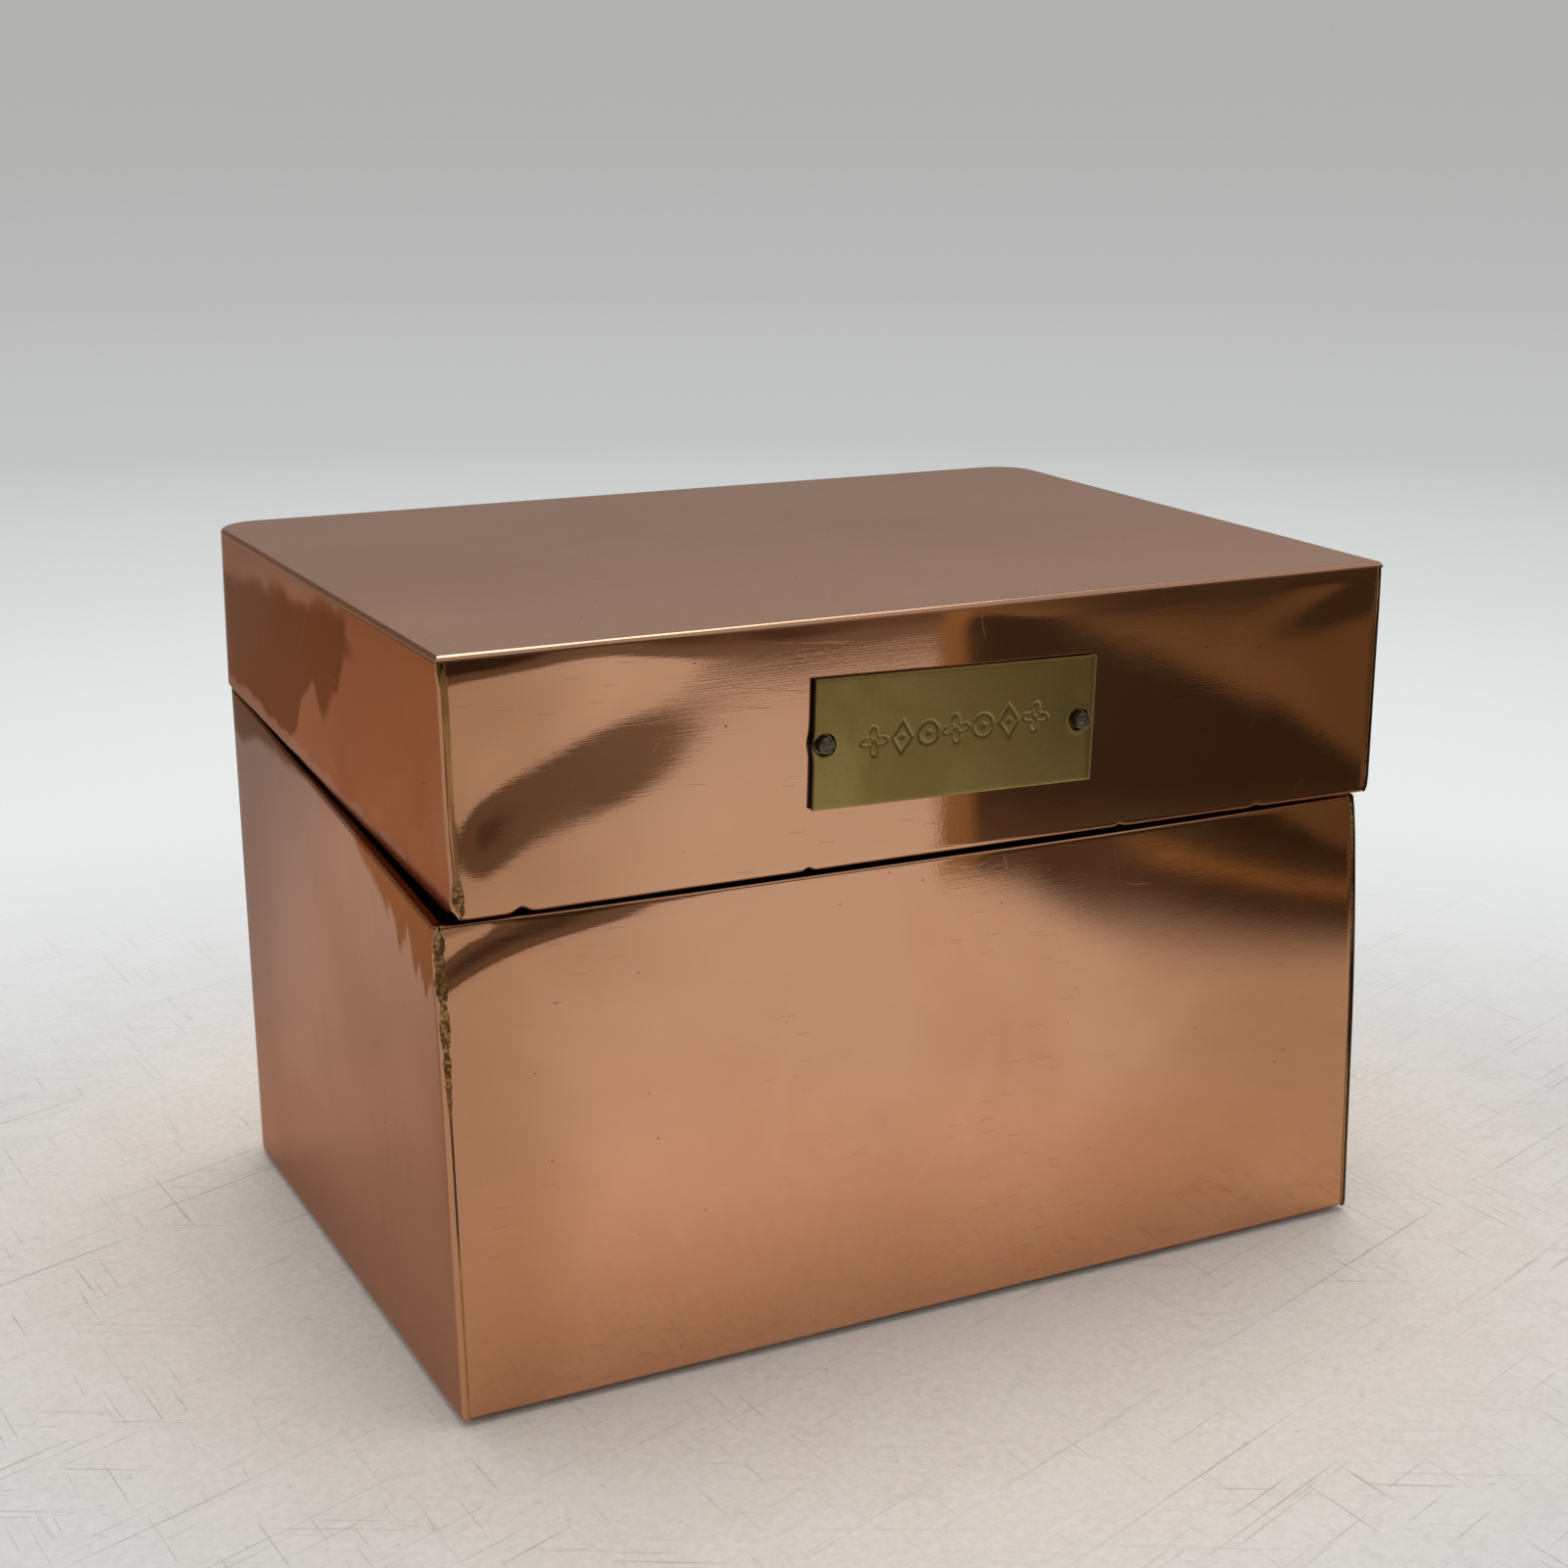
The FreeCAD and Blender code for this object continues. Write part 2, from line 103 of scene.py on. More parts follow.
class Colours(bpy.types.PropertyGroup):
    """Colours of the finishes."""
    copper: colour_setting("Copper", "Polished copper", (0.80, 0.435, 0.265))
    mauve_copper: colour_setting("Mauve copper", "Dulled copper on the body's sides", (0.40, 0.20, 0.13))
    # Orange-red of the lid's sides: partly the metal's own tint, partly a painted warm reflection.
    red_copper: colour_setting("Red copper", "Heat-tinted copper on the lid's sides", (0.42, 0.165, 0.09))
    # Darkest brown in runs on the lid's sides: a painted dark reflection.
    dark_reflection_copper: colour_setting("Scorched copper", "Darkest heat tint, in runs", (0.145, 0.055, 0.034))
    satin_copper: colour_setting("Satin copper", "Dulled copper on top of the lid", (0.60, 0.41, 0.32))
    solder: colour_setting("Solder", "Filed solder in the corners", (0.49, 0.262, 0.105))
    brass: colour_setting("Brass", "Olive brass of the name plate", (0.40, 0.30, 0.108))
    hinge_brass: colour_setting("Hinge brass", "Yellower brass of the hinge", (0.55, 0.40, 0.15))
    steel: colour_setting("Steel", "Darkened steel of the pins", (0.21, 0.19, 0.14))
    felt: colour_setting("Felt", "Dark green felt under the foot", (0.016, 0.03, 0.02))


def sizes():
    return bpy.context.scene.card_box_sheet


def stage_sizes():
    return bpy.context.scene.card_box_stage


def colours():
    return bpy.context.scene.card_box_colours


# ---- Walls as the frame has them --------
def plane_through(points):
    """Height as a function of x and y over three points."""
    rows = np.array([[1, p.x, p.y] for p in points])
    base, by_x, by_y = np.linalg.solve(rows, np.array([p.z for p in points]))
    return lambda x, y: base + by_x * x + by_y * y


def extreme(node, upwards, x_range, y_range):
    """The highest or lowest corner of a node inside a range of x and y."""
    found = [v.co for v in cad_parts[node].data.vertices
             if x_range[0] <= v.co.x <= x_range[1] and y_range[0] <= v.co.y <= y_range[1]]
    return (max if upwards else min)(found, key=lambda co: co.z)


def rim_plane(node, upwards):
    """Plane of the rim of a wrapped sheet."""
    front = (FRONT_Y - MM, FRONT_Y + 3 * MM)
    back = (BACK_Y - 3 * SHEET, BACK_Y)
    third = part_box(node)[1].x / 3
    return plane_through([extreme(node, upwards, (-1, 0), front), extreme(node, upwards, (0, 1), front),
                          extreme(node, upwards, (-1, -2 * third) if upwards else (2 * third, 1), back)])


class Walls:
    """Plan of the left, back and right walls of the body or the lid, measured on the frame."""

    def __init__(self, node, low, high):
        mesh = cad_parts[node].data
        tree = BVHTree.FromPolygons([v.co for v in mesh.vertices], [p.vertices[:] for p in mesh.polygons])
        self.bend = sizes().back_bend
        self.levels = (low, high)
        near, far = FRONT_Y + 4 * MM, BACK_Y - self.bend - 4 * MM
        self.ends = {}
        for side in (-1, 1):
            inwards = Vector((-side, 0, 0))
            for level in self.levels:
                xs = [tree.ray_cast(Vector((side, y, level)), inwards)[0].x for y in (near, far)]
                slope = (xs[1] - xs[0]) / (far - near)
                self.ends[side, level] = (xs[0] + slope * (FRONT_Y - near),
                                          xs[1] + slope * (BACK_Y - self.bend - far))

    def side_ends(self, side, z):
        """x of a side wall at the front and at the start of its bend."""
        low, high = self.levels
        share = (z - low) / (high - low)
        return [a + (b - a) * share for a, b in zip(self.ends[side, low], self.ends[side, high])]

    def point(self, station, inset, z):
        """Plan point of a station of the path, moved inwards by inset."""
        part, side, t = station
        if part == "back":
            left, right = (self.side_ends(s, z)[1] - s * self.bend for s in (-1, 1))
            return left + (right - left) * t, BACK_Y - inset
        front_x, back_x = self.side_ends(side, z)
        centre_x, centre_y = back_x - side * self.bend, BACK_Y - self.bend
        away_x, away_y = side * (front_x - centre_x), FRONT_Y - centre_y
        normal = math.atan2(away_y, away_x) + math.acos(self.bend / math.hypot(away_x, away_y))
        radius = self.bend - inset
        if part == "bend":
            angle = normal + (math.pi / 2 - normal) * t
            return centre_x + side * radius * math.cos(angle), centre_y + radius * math.sin(angle)
        bend_x, bend_y = centre_x + side * radius * math.cos(normal), centre_y + radius * math.sin(normal)
        y = FRONT_Y + (bend_y - FRONT_Y) * t if part == "side" else t
        return bend_x + side * math.sin(normal) * (bend_y - y) / math.cos(normal), y


def spread(count, first=0.0, last=1.0):
    """Evenly spread values, both ends included."""
    return [first + (last - first) * i / (count - 1) for i in range(count)]


def gathered(count, first=0.0, last=1.0, pull=0.6):
    """Values that lie closer together towards both ends."""
    return [first + (last - first) * (t - pull * math.sin(2 * math.pi * t) / (2 * math.pi))
            for t in spread(count)]


# ---- Mesh helpers --------
def arc(centre_inset, share, centre_rise, radius, start, end, count):
    """Points of a section on an arc: inset from the outer face, share of the height and rise."""
    angles = [math.radians(degrees) for degrees in spread(count, start, end)]
    return [(centre_inset + radius * math.cos(angle), share, centre_rise + radius * math.sin(angle))
            for angle in angles]


def link_mesh(name, points, faces, body, material):
    """Clean mesh object that rides on a body and replaces the CAD node of its name."""
    mesh = bpy.data.meshes.new(name)
    mesh.from_pydata(points, [], faces)
    shaped = bmesh.new()
    shaped.from_mesh(mesh)
    bmesh.ops.remove_doubles(shaped, verts=shaped.verts, dist=1e-6)
    bmesh.ops.dissolve_degenerate(shaped, edges=shaped.edges, dist=1e-7)
    flat = [f for f in shaped.faces if len(f.verts) > 4]
    bmesh.ops.triangulate(shaped, faces=flat)
    bmesh.ops.recalc_face_normals(shaped, faces=shaped.faces)
    shaped.to_mesh(mesh)
    shaped.free()
    mesh.shade_smooth()
    mesh.set_sharp_from_angle(angle=math.radians(35))
    piece = bpy.data.objects.new(name, mesh)
    bpy.context.scene.collection.objects.link(piece)
    mesh.materials.append(material)
    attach(piece, body)
    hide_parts(name)
    return piece


def belt(row, other):
    """Quads between two closed rows of points."""
    return list(zip(row, row[1:] + row[:1], other[1:] + other[:1], other))


def grid_faces(first, rows, columns):
    """Quads between open rows of points that start at first."""
    return [(a, a + 1, a + columns + 1, a + columns) for r in range(rows - 1)
            for a in range(first + r * columns, first + (r + 1) * columns - 1)]


def capped(columns, ring, first=0):
    """Quads between closed rings of points that start at first, and a cap at each end."""
    rings = [list(range(first + c * ring, first + (c + 1) * ring)) for c in range(columns)]
    faces = [face for row, other in zip(rings, rings[1:]) for face in belt(row, other)]
    return faces + [tuple(rings[0]), tuple(reversed(rings[-1]))]


# ---- Dents of the hand-worked sheets --------
def bump(distance, width):
    """Smooth hill of height 1."""
    return math.exp(-(distance / width) ** 2)


def ease(value, low, high):
    """Smooth step from 0 to 1."""
    t = min(1.0, max(0.0, (value - low) / (high - low)))
    return t * t * (3 - 2 * t)


def roll(distance, width):
    """Lean that starts a width away from an edge and is steepest at the edge."""
    return max(0.0, 1 - max(0.0, distance) / width) ** 2


def hollow(u, v, half_u, half_v, turn=0.0, end=2):
    """Long smooth hollow of depth 1, turned in its own plane; the higher end is, the blunter its ends."""
    along = u * math.cos(turn) + v * math.sin(turn)
    across = v * math.cos(turn) - u * math.sin(turn)
    return math.exp(-abs(along / half_u) ** end - (across / half_v) ** 2)


def wave(x, y, z, length):
    """Slow random wave between about -1 and 1."""
    return noise.noise(Vector((x / length, y / length, z / length)))


class HandWork:
    """The one warp that every sheet takes, in mm: leaning rims, hollows, nicks and slow waves."""
    # Place across, depth and half width of each nick.
    nicks = ((-81.4, 1.1, 0.8), (-71.0, 0.8, 1.2), (-25.0, 0.5, 0.7), (31.0, 0.35, 0.6), (58.0, 0.3, 0.9))

    def __init__(self):
        self.rims = (rim_plane("body_wrap", True), rim_plane("lid_wrap", False))
        self.left, self.right = (corner.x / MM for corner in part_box("lid_wrap"))
        self.body_left, self.body_right = (corner.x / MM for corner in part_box("body_wrap"))
        self.foot, self.front, self.back = FOOT_Z / MM, FRONT_Y / MM, BACK_Y / MM
        self.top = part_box("lid_top")[1].z / MM

    def above(self, x, y, z):
        """Height above the middle of the seam."""
        return z - sum(rim(x * MM, y * MM) for rim in self.rims) / (2 * MM)

    def off_foot(self, z):
        """Share of the work that reaches a height: none at the stiff foot."""
        return ease(z, self.foot + 2, self.foot + 14)

    def front_lean(self, x, z, above):
        """How far the front sheets lie inwards: each form has its depth first and then its reach."""
        slow = 0.035 * (1 + wave(x, 3100, z, 27)) + 0.006 * (1 + wave(x, 7700, z, 9))
        if above < 0:
            from_left = max(0.0, x - self.body_left)
            crease = 9.5 * math.exp(-from_left / 12)
            left = 0.80 * (1 - ease(from_left, 18, 56)) * (1 - ease(-above, crease - 4, crease + 4))
            right = 2.85 * roll(-above, 44) * ease(x, 14, self.body_right + 32)
            return (slow + left + right) * self.off_foot(z)
        under_top = self.top - z
        rim = 0.31 * (0.8 + 0.5 * wave(x, 1300, 200, 19)) * roll(under_top, 4.6)
        rim += 0.012 * above * ease(x, -5, 35)
        trail = 0.55 * hollow(x + 77.5, z - 95.5, 5.5, 9.5, -0.25) * ease(x, self.left - 3, self.left + 7)
        blow = 0.84 * hollow(x + 65, z - 103.2, 20, 10.5, 0.36, 3)
        far = 0.14 * hollow(x - 72, under_top - 6, 12, 3.5, -0.3)
        end = 0.12 * roll(x - self.left, 5)
        return slow + rim + trail + blow + far + end

    def side_lean(self, y, z, above, side):
        """How far the left and right walls lie inwards."""
        slow = 0.06 * (1 + wave(side * 2300, y, z, 30))
        if above < 0:
            near = 0.3 * roll(-above, 9) * bump(y - self.front, 40)
            return (slow + 0.1 * roll(-above, 4) + near) * self.off_foot(z)
        rim = 0.22 * roll(above, 3.5) * (0.8 + 0.5 * wave(4400, y, side * 1000, 8))
        return slow + rim + 0.12 * roll(self.top - z, 4)

    def rim_rise(self, x, y, above):
        """Uneven cut of the rims: the body's rim a little low, the lid's a little high."""
        uneven = 0.04 * (1 + wave(x, y, 5500, 11)) - 0.11
        if above < 0:
            return -uneven * (1 - ease(-above, 1, 6))
        nick = sum(deep * bump(x - place, wide) for place, deep, wide in self.nicks)
        corner = 1.2 * ease(x, self.right - 1.9, self.right - 0.3)
        at_front = 1 - ease(y, self.front + 0.6, self.front + 2.6)
        return (uneven + (nick + corner) * at_front) * (1 - ease(above, 1, 3.2))

    def __call__(self, point):
        x, y, z = (value / MM for value in point)
        above = self.above(x, y, z)
        hinge_free = 1 - ease(y, self.back - 24, self.back - 9)
        at_front = 1 - ease(y, self.front + 3, self.front + 16)
        left, right = (self.body_left, self.body_right) if above < 0 else (self.left, self.right)
        at_left = 1 - ease(x, left + 4, left + 16)
        at_right = ease(x, right - 16, right - 4)
        inwards = hinge_free * (at_left * self.side_lean(y, z, above, -1)
                                - at_right * self.side_lean(y, z, above, 1))
        slack = 0.05 * (1 + wave(x, y, 9900, 34)) * ease(z, self.top - 5, self.top - 2)
        worked_point = (x + inwards, y + at_front * self.front_lean(x, z, above),
                        z + hinge_free * self.rim_rise(x, y, above) - slack)
        return tuple(value * MM for value in worked_point)


HAND_WORK = []


def dented(point):
    """A point of a sheet after hand work."""
    if not HAND_WORK:
        HAND_WORK.append(HandWork())
    return HAND_WORK[0](point)


# ---- Sections of the walls --------
SUPPORT = 0.5 * MM      # distance of the support row from a rounding
HEM_CHAMFER = 0.2 * MM  # cut edge of the folded hem


def folded_rim(share, into):
    """Section of a folded rim and its hem; into is -1 where the sheet lies below the rim, 1 where above."""
    rounding, hem = sizes().rim_round, sizes().hem_depth
    crest = 180 + into * 90
    section = [(0, share, into * (rounding + SUPPORT))]
    section += arc(rounding, share, into * rounding, rounding, 180, crest, 8)
    section += arc(2 * SHEET - rounding, share, into * rounding, rounding, crest, crest + into * 90, 8)
    return section + [(2 * SHEET, share, into * hem / 2), (2 * SHEET, share, into * (hem - HEM_CHAMFER)),
                      (2 * SHEET - HEM_CHAMFER, share, into * hem), (SHEET, share, into * hem)]


def body_section():
    """Section of a body wall, foot to rim and back: inset, share of the height, rise."""
    edge = sizes().edge_round
    section = arc(edge, 0, edge, edge, 270, 180, 6) + [(0, 0, edge + SUPPORT)]
    section += [(0, share, 0) for share in gathered(64, 0.045, 0.968)] + folded_rim(1, -1)
    return section + [(SHEET, share, 0) for share in spread(12, 0.88, 0.06)] + [(SHEET, 0, 0)]


def lid_section():
    """Section of a lid wall, from its top down to the rim and back up."""
    section = [(0, 1, 0), (0, 1, -SUPPORT)]
    section += [(0, share, 0) for share in gathered(48, 0.97, 0.068)] + folded_rim(0, 1)
    return section + [(SHEET, share, 0) for share in spread(8, 0.2, 0.94)] + [(SHEET, 1, 0)]


def raised(section, low, high, x, y):
    """Heights of a section's points over a plan point."""
    bottom, top = low(x, y), high(x, y)
    return [bottom + (top - bottom) * share + rise for _, share, rise in section]


def moved_in(inset, extra, hemmed):
    """Inset of a section point where the corner is rounded by extra; without a hem it stays in the sheet."""
    if not hemmed:
        inset = min(inset, SHEET)
    return extra + inset * (1 - extra / SHEET) if inset < SHEET else inset


def rounded(radius, count):
    """Offsets along and into a sheet over the rounding of its upright edge."""
    return [(radius * (1 - math.sin(turn)), radius * (1 - math.cos(turn)))
            for turn in spread(count, math.pi / 2, 0)]


# ---- Wrapped sheet: left, back and right walls in one piece --------
def wrap_stations():
    """Stations along the path, each with the share of the corner rounding and whether its rim is hemmed."""
    hem_start = FRONT_Y + SHEET + sizes().joint
    front = [(FRONT_Y + offset, extra, False) for offset, extra in rounded(sizes().corner_round, 7)]
    front += [(hem_start, 0, False), (hem_start, 0, True)]
    left, right = ([(("at", side, y), extra, hemmed) for y, extra, hemmed in front]
                   + [(("side", side, 0.02 + 0.98 * t), 0, True) for t in spread(80)]
                   + [(("bend", side, t), 0, True) for t in spread(15)[1:]] for side in (-1, 1))
    return left + [(("back", 0, t), 0, True) for t in spread(40)[1:-1]] + right[::-1]


def wrap_sheet(name, walls, section, low, high, body, material):
    """The sheet bent round three sides, replacing its CAD node."""
    points = []
    stations = wrap_stations()
    middle = sum(walls.levels) / 2
    for station, extra, hemmed in stations:
        heights = raised(section, low, high, *walls.point(station, 0, middle))
        for (inset, _, _), z in zip(section, heights):
            x, y = walls.point(station, moved_in(inset, extra, hemmed), z)
            points.append(dented((x, y, z)))
    return link_mesh(name, points, capped(len(stations), len(section)), body, material)


# ---- Front sheet --------
PANEL_EDGE = 0.15 * MM  # rounding of the front sheets' upright edges


def panel_stations():
    """Stations across a front panel: share of the width, offset, edge rounding and whether it is hemmed."""
    left = [(0, offset, extra, False) for offset, extra in rounded(PANEL_EDGE, 4)]
    left += [(0, SHEET, 0, False), (0, SHEET, 0, True)]
    right = [(1, -offset, extra, hemmed) for _, offset, extra, hemmed in reversed(left)]
    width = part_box("lid_front")[1].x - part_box("lid_front")[0].x
    shares = gathered(150, 0.012, 0.988, 0.45)
    for place, _, wide in HandWork.nicks:
        shares += [0.5 + (place + wide * t) * MM / width for t in spread(9, -2, 2)]
    return left + [(u, 0, 0, True) for u in sorted(shares) if 0.008 < u < 0.992] + right


def front_sheet(name, walls, section, low, high, body, material):
    """The flat front sheet between the side walls, replacing its CAD node."""
    joint = sizes().joint
    half_width = walls.side_ends(1, sum(walls.levels) / 2)[0] - SHEET
    points = []
    stations = panel_stations()
    for u, offset, extra, hemmed in stations:
        heights = raised(section, low, high, (2 * u - 1) * half_width, FRONT_Y)
        for (inset, _, _), z in zip(section, heights):
            y = FRONT_Y + moved_in(inset, extra, hemmed)
            left = walls.point(("at", -1, y), SHEET, z)[0] + joint
            right = walls.point(("at", 1, y), SHEET, z)[0] - joint
            points.append(dented((left + (right - left) * u + offset, y, z)))
    return link_mesh(name, points, capped(len(stations), len(section)), body, material)


# ---- Top sheet of the lid --------
def top_rows(walls, inset, z):
    """Rows of plan points over the whole outline, front to back, each from left to right."""
    stations = [("at", FRONT_Y + inset)] + [("side", t) for t in gathered(60)[1:]]
    stations += [("bend", t) for t in spread(13)[1:]]
    rows = []
    for part, t in stations:
        (left_x, left_y), (right_x, right_y) = (walls.point((part, side, t), inset, z) for side in (-1, 1))
        rows.append([(left_x + (right_x - left_x) * u, left_y + (right_y - left_y) * u)
                     for u in gathered(90)])
    return rows


def outline_order(rows, columns):
    """Places in a grid of points that lie on its outline, once round."""
    order = [(0, c) for c in range(columns)] + [(r, columns - 1) for r in range(1, rows)]
    order += [(rows - 1, c) for c in range(columns - 2, -1, -1)] + [(r, 0) for r in range(rows - 2, 0, -1)]
    return order


def top_sheet(walls, low, high, material):
    """The lid's top sheet with its polished rounding, replacing its CAD node."""
    edge, wall_top = sizes().edge_round, walls.levels[1]
    grid = top_rows(walls, edge, wall_top)
    rows, columns = len(grid), len(grid[0])
    order = outline_order(rows, columns)
    points, faces = [], []
    for height in (high, low):
        faces += grid_faces(len(points), rows, columns)
        points += [dented((x, y, height(x, y))) for row in grid for x, y in row]
    previous = [r * columns + c for r, c in order]
    under = [rows * columns + i for i in previous]
    for inset, share, rise in arc(edge, 1, -edge, edge, 90, 180, 8)[1:] + [(0, 0, 0)]:
        outline = top_rows(walls, inset, wall_top)
        current = list(range(len(points), len(points) + len(order)))
        for r, c in order:
            x, y = outline[r][c]
            points.append(dented((x, y, low(x, y) + (high(x, y) - low(x, y)) * share + rise)))
        faces += belt(previous, current)
        previous = current
    faces += belt(previous, under)
    return link_mesh("lid_top", points, faces, "lid", material)


# ---- Solder in the upright corners --------
SOLDER_LEG = 1.8 * MM
# Half width where thin and where full, swell in mm, and the heights where the solder is calm and full.
SOLDER_LOOKS = {
    "body_left_seam": (0.16, 1.15, 0.26, 0.045, 0.068),
    "body_right_seam": (0.14, 0.35, 0.10, 0.060, 0.074),
    "lid_left_seam": (0.55, 1.05, 0.14, 0.086, 0.083),
    "lid_right_seam": (0.16, 0.40, 0.08, 0.105, 0.114),
}


def solder_strip(name, walls, side, span, fillet_span, body, material):
    """Filed solder along a front corner: its skin outside, the joint and the fillet inside."""
    thin, wide, proud, calm, full = SOLDER_LOOKS[name]
    half_joint = sizes().joint / 2
    bottom, top = span
    points = []
    heights = spread(170, bottom, top)
    for z in heights:
        seat = walls.point(("at", side, FRONT_Y), SHEET, z)[0] - side * half_joint
        lump = ease(z, calm, full) if full > calm else 1 - ease(z, full, calm)
        rough = 0.5 + 0.6 * wave(side, 2.2, z, 2.3 * MM) + 0.5 * wave(5.1, side, z, 0.8 * MM)
        half = (thin + (wide - thin) * lump * max(0.25, 0.35 + 0.65 * rough)) * MM
        half *= ease(z, bottom - 0.1 * MM, bottom + 1.5 * MM) * (1 - ease(z, top - 1.2 * MM, top + 0.1 * MM))
        half = max(half, half_joint * 0.9)
        rise = (0.02 + proud * lump * (0.4 + 0.6 * abs(rough))) * MM
        leg = SOLDER_LEG * ease(z, *fillet_span[:2]) * (1 - ease(z, *fillet_span[2:])) + 0.02 * MM
        ring = []
        for t in spread(13, -1, 1):
            swell = (1 - t * t) ** 0.7 * (0.75 + 0.45 * wave(t * 1.7, side, z / MM / 1.1, 1.0))
            ring.append((t * half, -rise * swell))
        ring += [(half_joint, 0.05 * MM), (half_joint, SHEET)]
        for turn in spread(6, 0.0, math.pi / 2):
            ring.append((half_joint + leg * (1 - math.sin(turn)), SHEET + leg * (1 - math.cos(turn))))
        ring += [(-half_joint, SHEET), (-half_joint, 0.05 * MM)]
        points += [dented((seat - side * across, FRONT_Y + inset, z)) for across, inset in ring]
    faces = capped(len(heights), len(points) // len(heights))
    return link_mesh(name, points, faces, body, material)


# ---- Name plate and pins --------
PLATE_MIDDLE = (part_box("name_plate")[0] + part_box("name_plate")[1]) / 2
PLATE_TILT = math.radians(1.6)
PLATE_MARGINS = (1.8 * MM, 2.8 * MM)
PLATE_WIDTH, PLATE_HEIGHT, PLATE_THICK = 49.3 * MM, 20.0 * MM, 0.8 * MM
HALF_U, HALF_V = PLATE_WIDTH / 2, PLATE_HEIGHT / 2
PIN_PLACES = (PLATE_MARGINS[0] - HALF_U, HALF_U - PLATE_MARGINS[1])
PIN_PROUD = (0.9 * MM, 1.4 * MM)
PIN_RADIUS = 1.35 * MM
PIN_FLAT = 0.86         # share of the radius where the rounding of a pin's end starts
HOLE_RADIUS = 1.66 * MM
HEAD_RADIUS, HEAD_HEIGHT, HEAD_BEVEL = 2.6 * MM, 0.8 * MM, 0.15 * MM
HAIR = 0.02 * MM        # clearance that keeps faces apart
STAMP_REACH = (3.4, 3.6)


def stamp_ring(u, v):
    return abs(math.hypot(u, v) - 1.75)


def stamp_lozenge(u, v):
    return abs(abs(u) / 1.7 + abs(v) / 2.5 - 1) * 1.4


def stamp_petals(u, v):
    return abs(math.hypot(u, v) - (1.55 + 0.7 * math.cos(4 * math.atan2(v, u))))


# Distance to each stamp's line, its place on the plate in mm and its turn.
STAMPS = ((stamp_petals, -14.6, -0.2, 0.05), (stamp_lozenge, -9.8, 0.1, -0.03), (stamp_ring, -5.2, 0.35, 0.0),
          (stamp_petals, -0.4, 0.5, 0.10), (stamp_ring, 4.4, 0.6, 0.0), (stamp_lozenge, 9.0, 0.95, 0.06),
          (stamp_petals, 13.7, 1.1, -0.08))


def plate_place(u, depth, v):
    """A point of the plate in its own frame, set on the lid."""
    return (PLATE_MIDDLE.x + u * math.cos(PLATE_TILT) + v * math.sin(PLATE_TILT), depth,
            PLATE_MIDDLE.z - u * math.sin(PLATE_TILT) + v * math.cos(PLATE_TILT))


def plate_relief(u, v):
    """Depth of the front face at a place on the plate: hand-struck marks, pin holes and rolled edges."""
    depth = 0.0
    for stamp, at_u, at_v, turn in STAMPS:
        du, dv = u / MM - at_u, v / MM - at_v
        if abs(du) > STAMP_REACH[0] or abs(dv) > STAMP_REACH[1]:
            continue
        along, across = du * math.cos(turn) + dv * math.sin(turn), dv * math.cos(turn) - du * math.sin(turn)
        strength = 0.72 + 0.5 * wave(u, v, at_u, 2.6 * MM)
        gap = min(stamp(along, across), abs(math.hypot(along, across) - 0.25) + 0.05)
        depth += strength * (0.15 * MM * bump(gap, 0.27) - 0.045 * MM * bump(gap - 0.55, 0.22))
    for pin_u in PIN_PLACES:
        reach = math.hypot(u - pin_u, v)
        uneven = reach + 0.06 * MM * wave(u, v, 3.3, 0.8 * MM)
        depth = max(depth, 0.7 * MM * (1 - ease(uneven, HOLE_RADIUS - 0.05 * MM, HOLE_RADIUS + 0.14 * MM)))
        depth -= 0.03 * MM * bump(reach - HOLE_RADIUS - 0.35 * MM, 0.25 * MM)
    edge = min(HALF_U - abs(u), HALF_V - abs(v))
    depth += 0.10 * MM * roll(edge, 0.28 * MM) + 0.16 * MM * roll(HALF_U - u, 1.7 * MM)
    return depth + 0.02 * MM * wave(u, v, 8.8, 9 * MM) + 0.02 * MM


def make_name_plate(material):
    """Brass plate struck with a row of plain ornaments."""
    us = [HALF_U * t for t in spread(360, -1, 1)]
    rim = [HALF_V - 0.28 * MM * t for t in (0, 0.25, 0.5, 0.75, 1)]
    between = spread(74, -3.9, 4.9) + spread(9, -9.3, -4.6)[:-1] + spread(7, 5.6, 9.3)
    vs = sorted([v * MM for v in between] + rim + [-v for v in rim])
    points = []
    for back in (False, True):
        for v in vs:
            bulge = 0.35 * MM * bump(v, 1.5 * MM)
            for u in us:
                face = PLATE_FACE + (PLATE_THICK if back else plate_relief(u, v))
                moved = u - bulge * (1 - ease(u, -HALF_U, PIN_PLACES[0])) if u < PIN_PLACES[0] else u
                points.append(plate_place(moved, face, v))
    rows, columns = len(vs), len(us)
    order = [r * columns + c for r, c in outline_order(rows, columns)]
    other = rows * columns
    faces = grid_faces(0, rows, columns) + grid_faces(other, rows, columns)
    faces += belt(order, [other + i for i in order])
    return link_mesh("name_plate", points, faces, "lid", material)


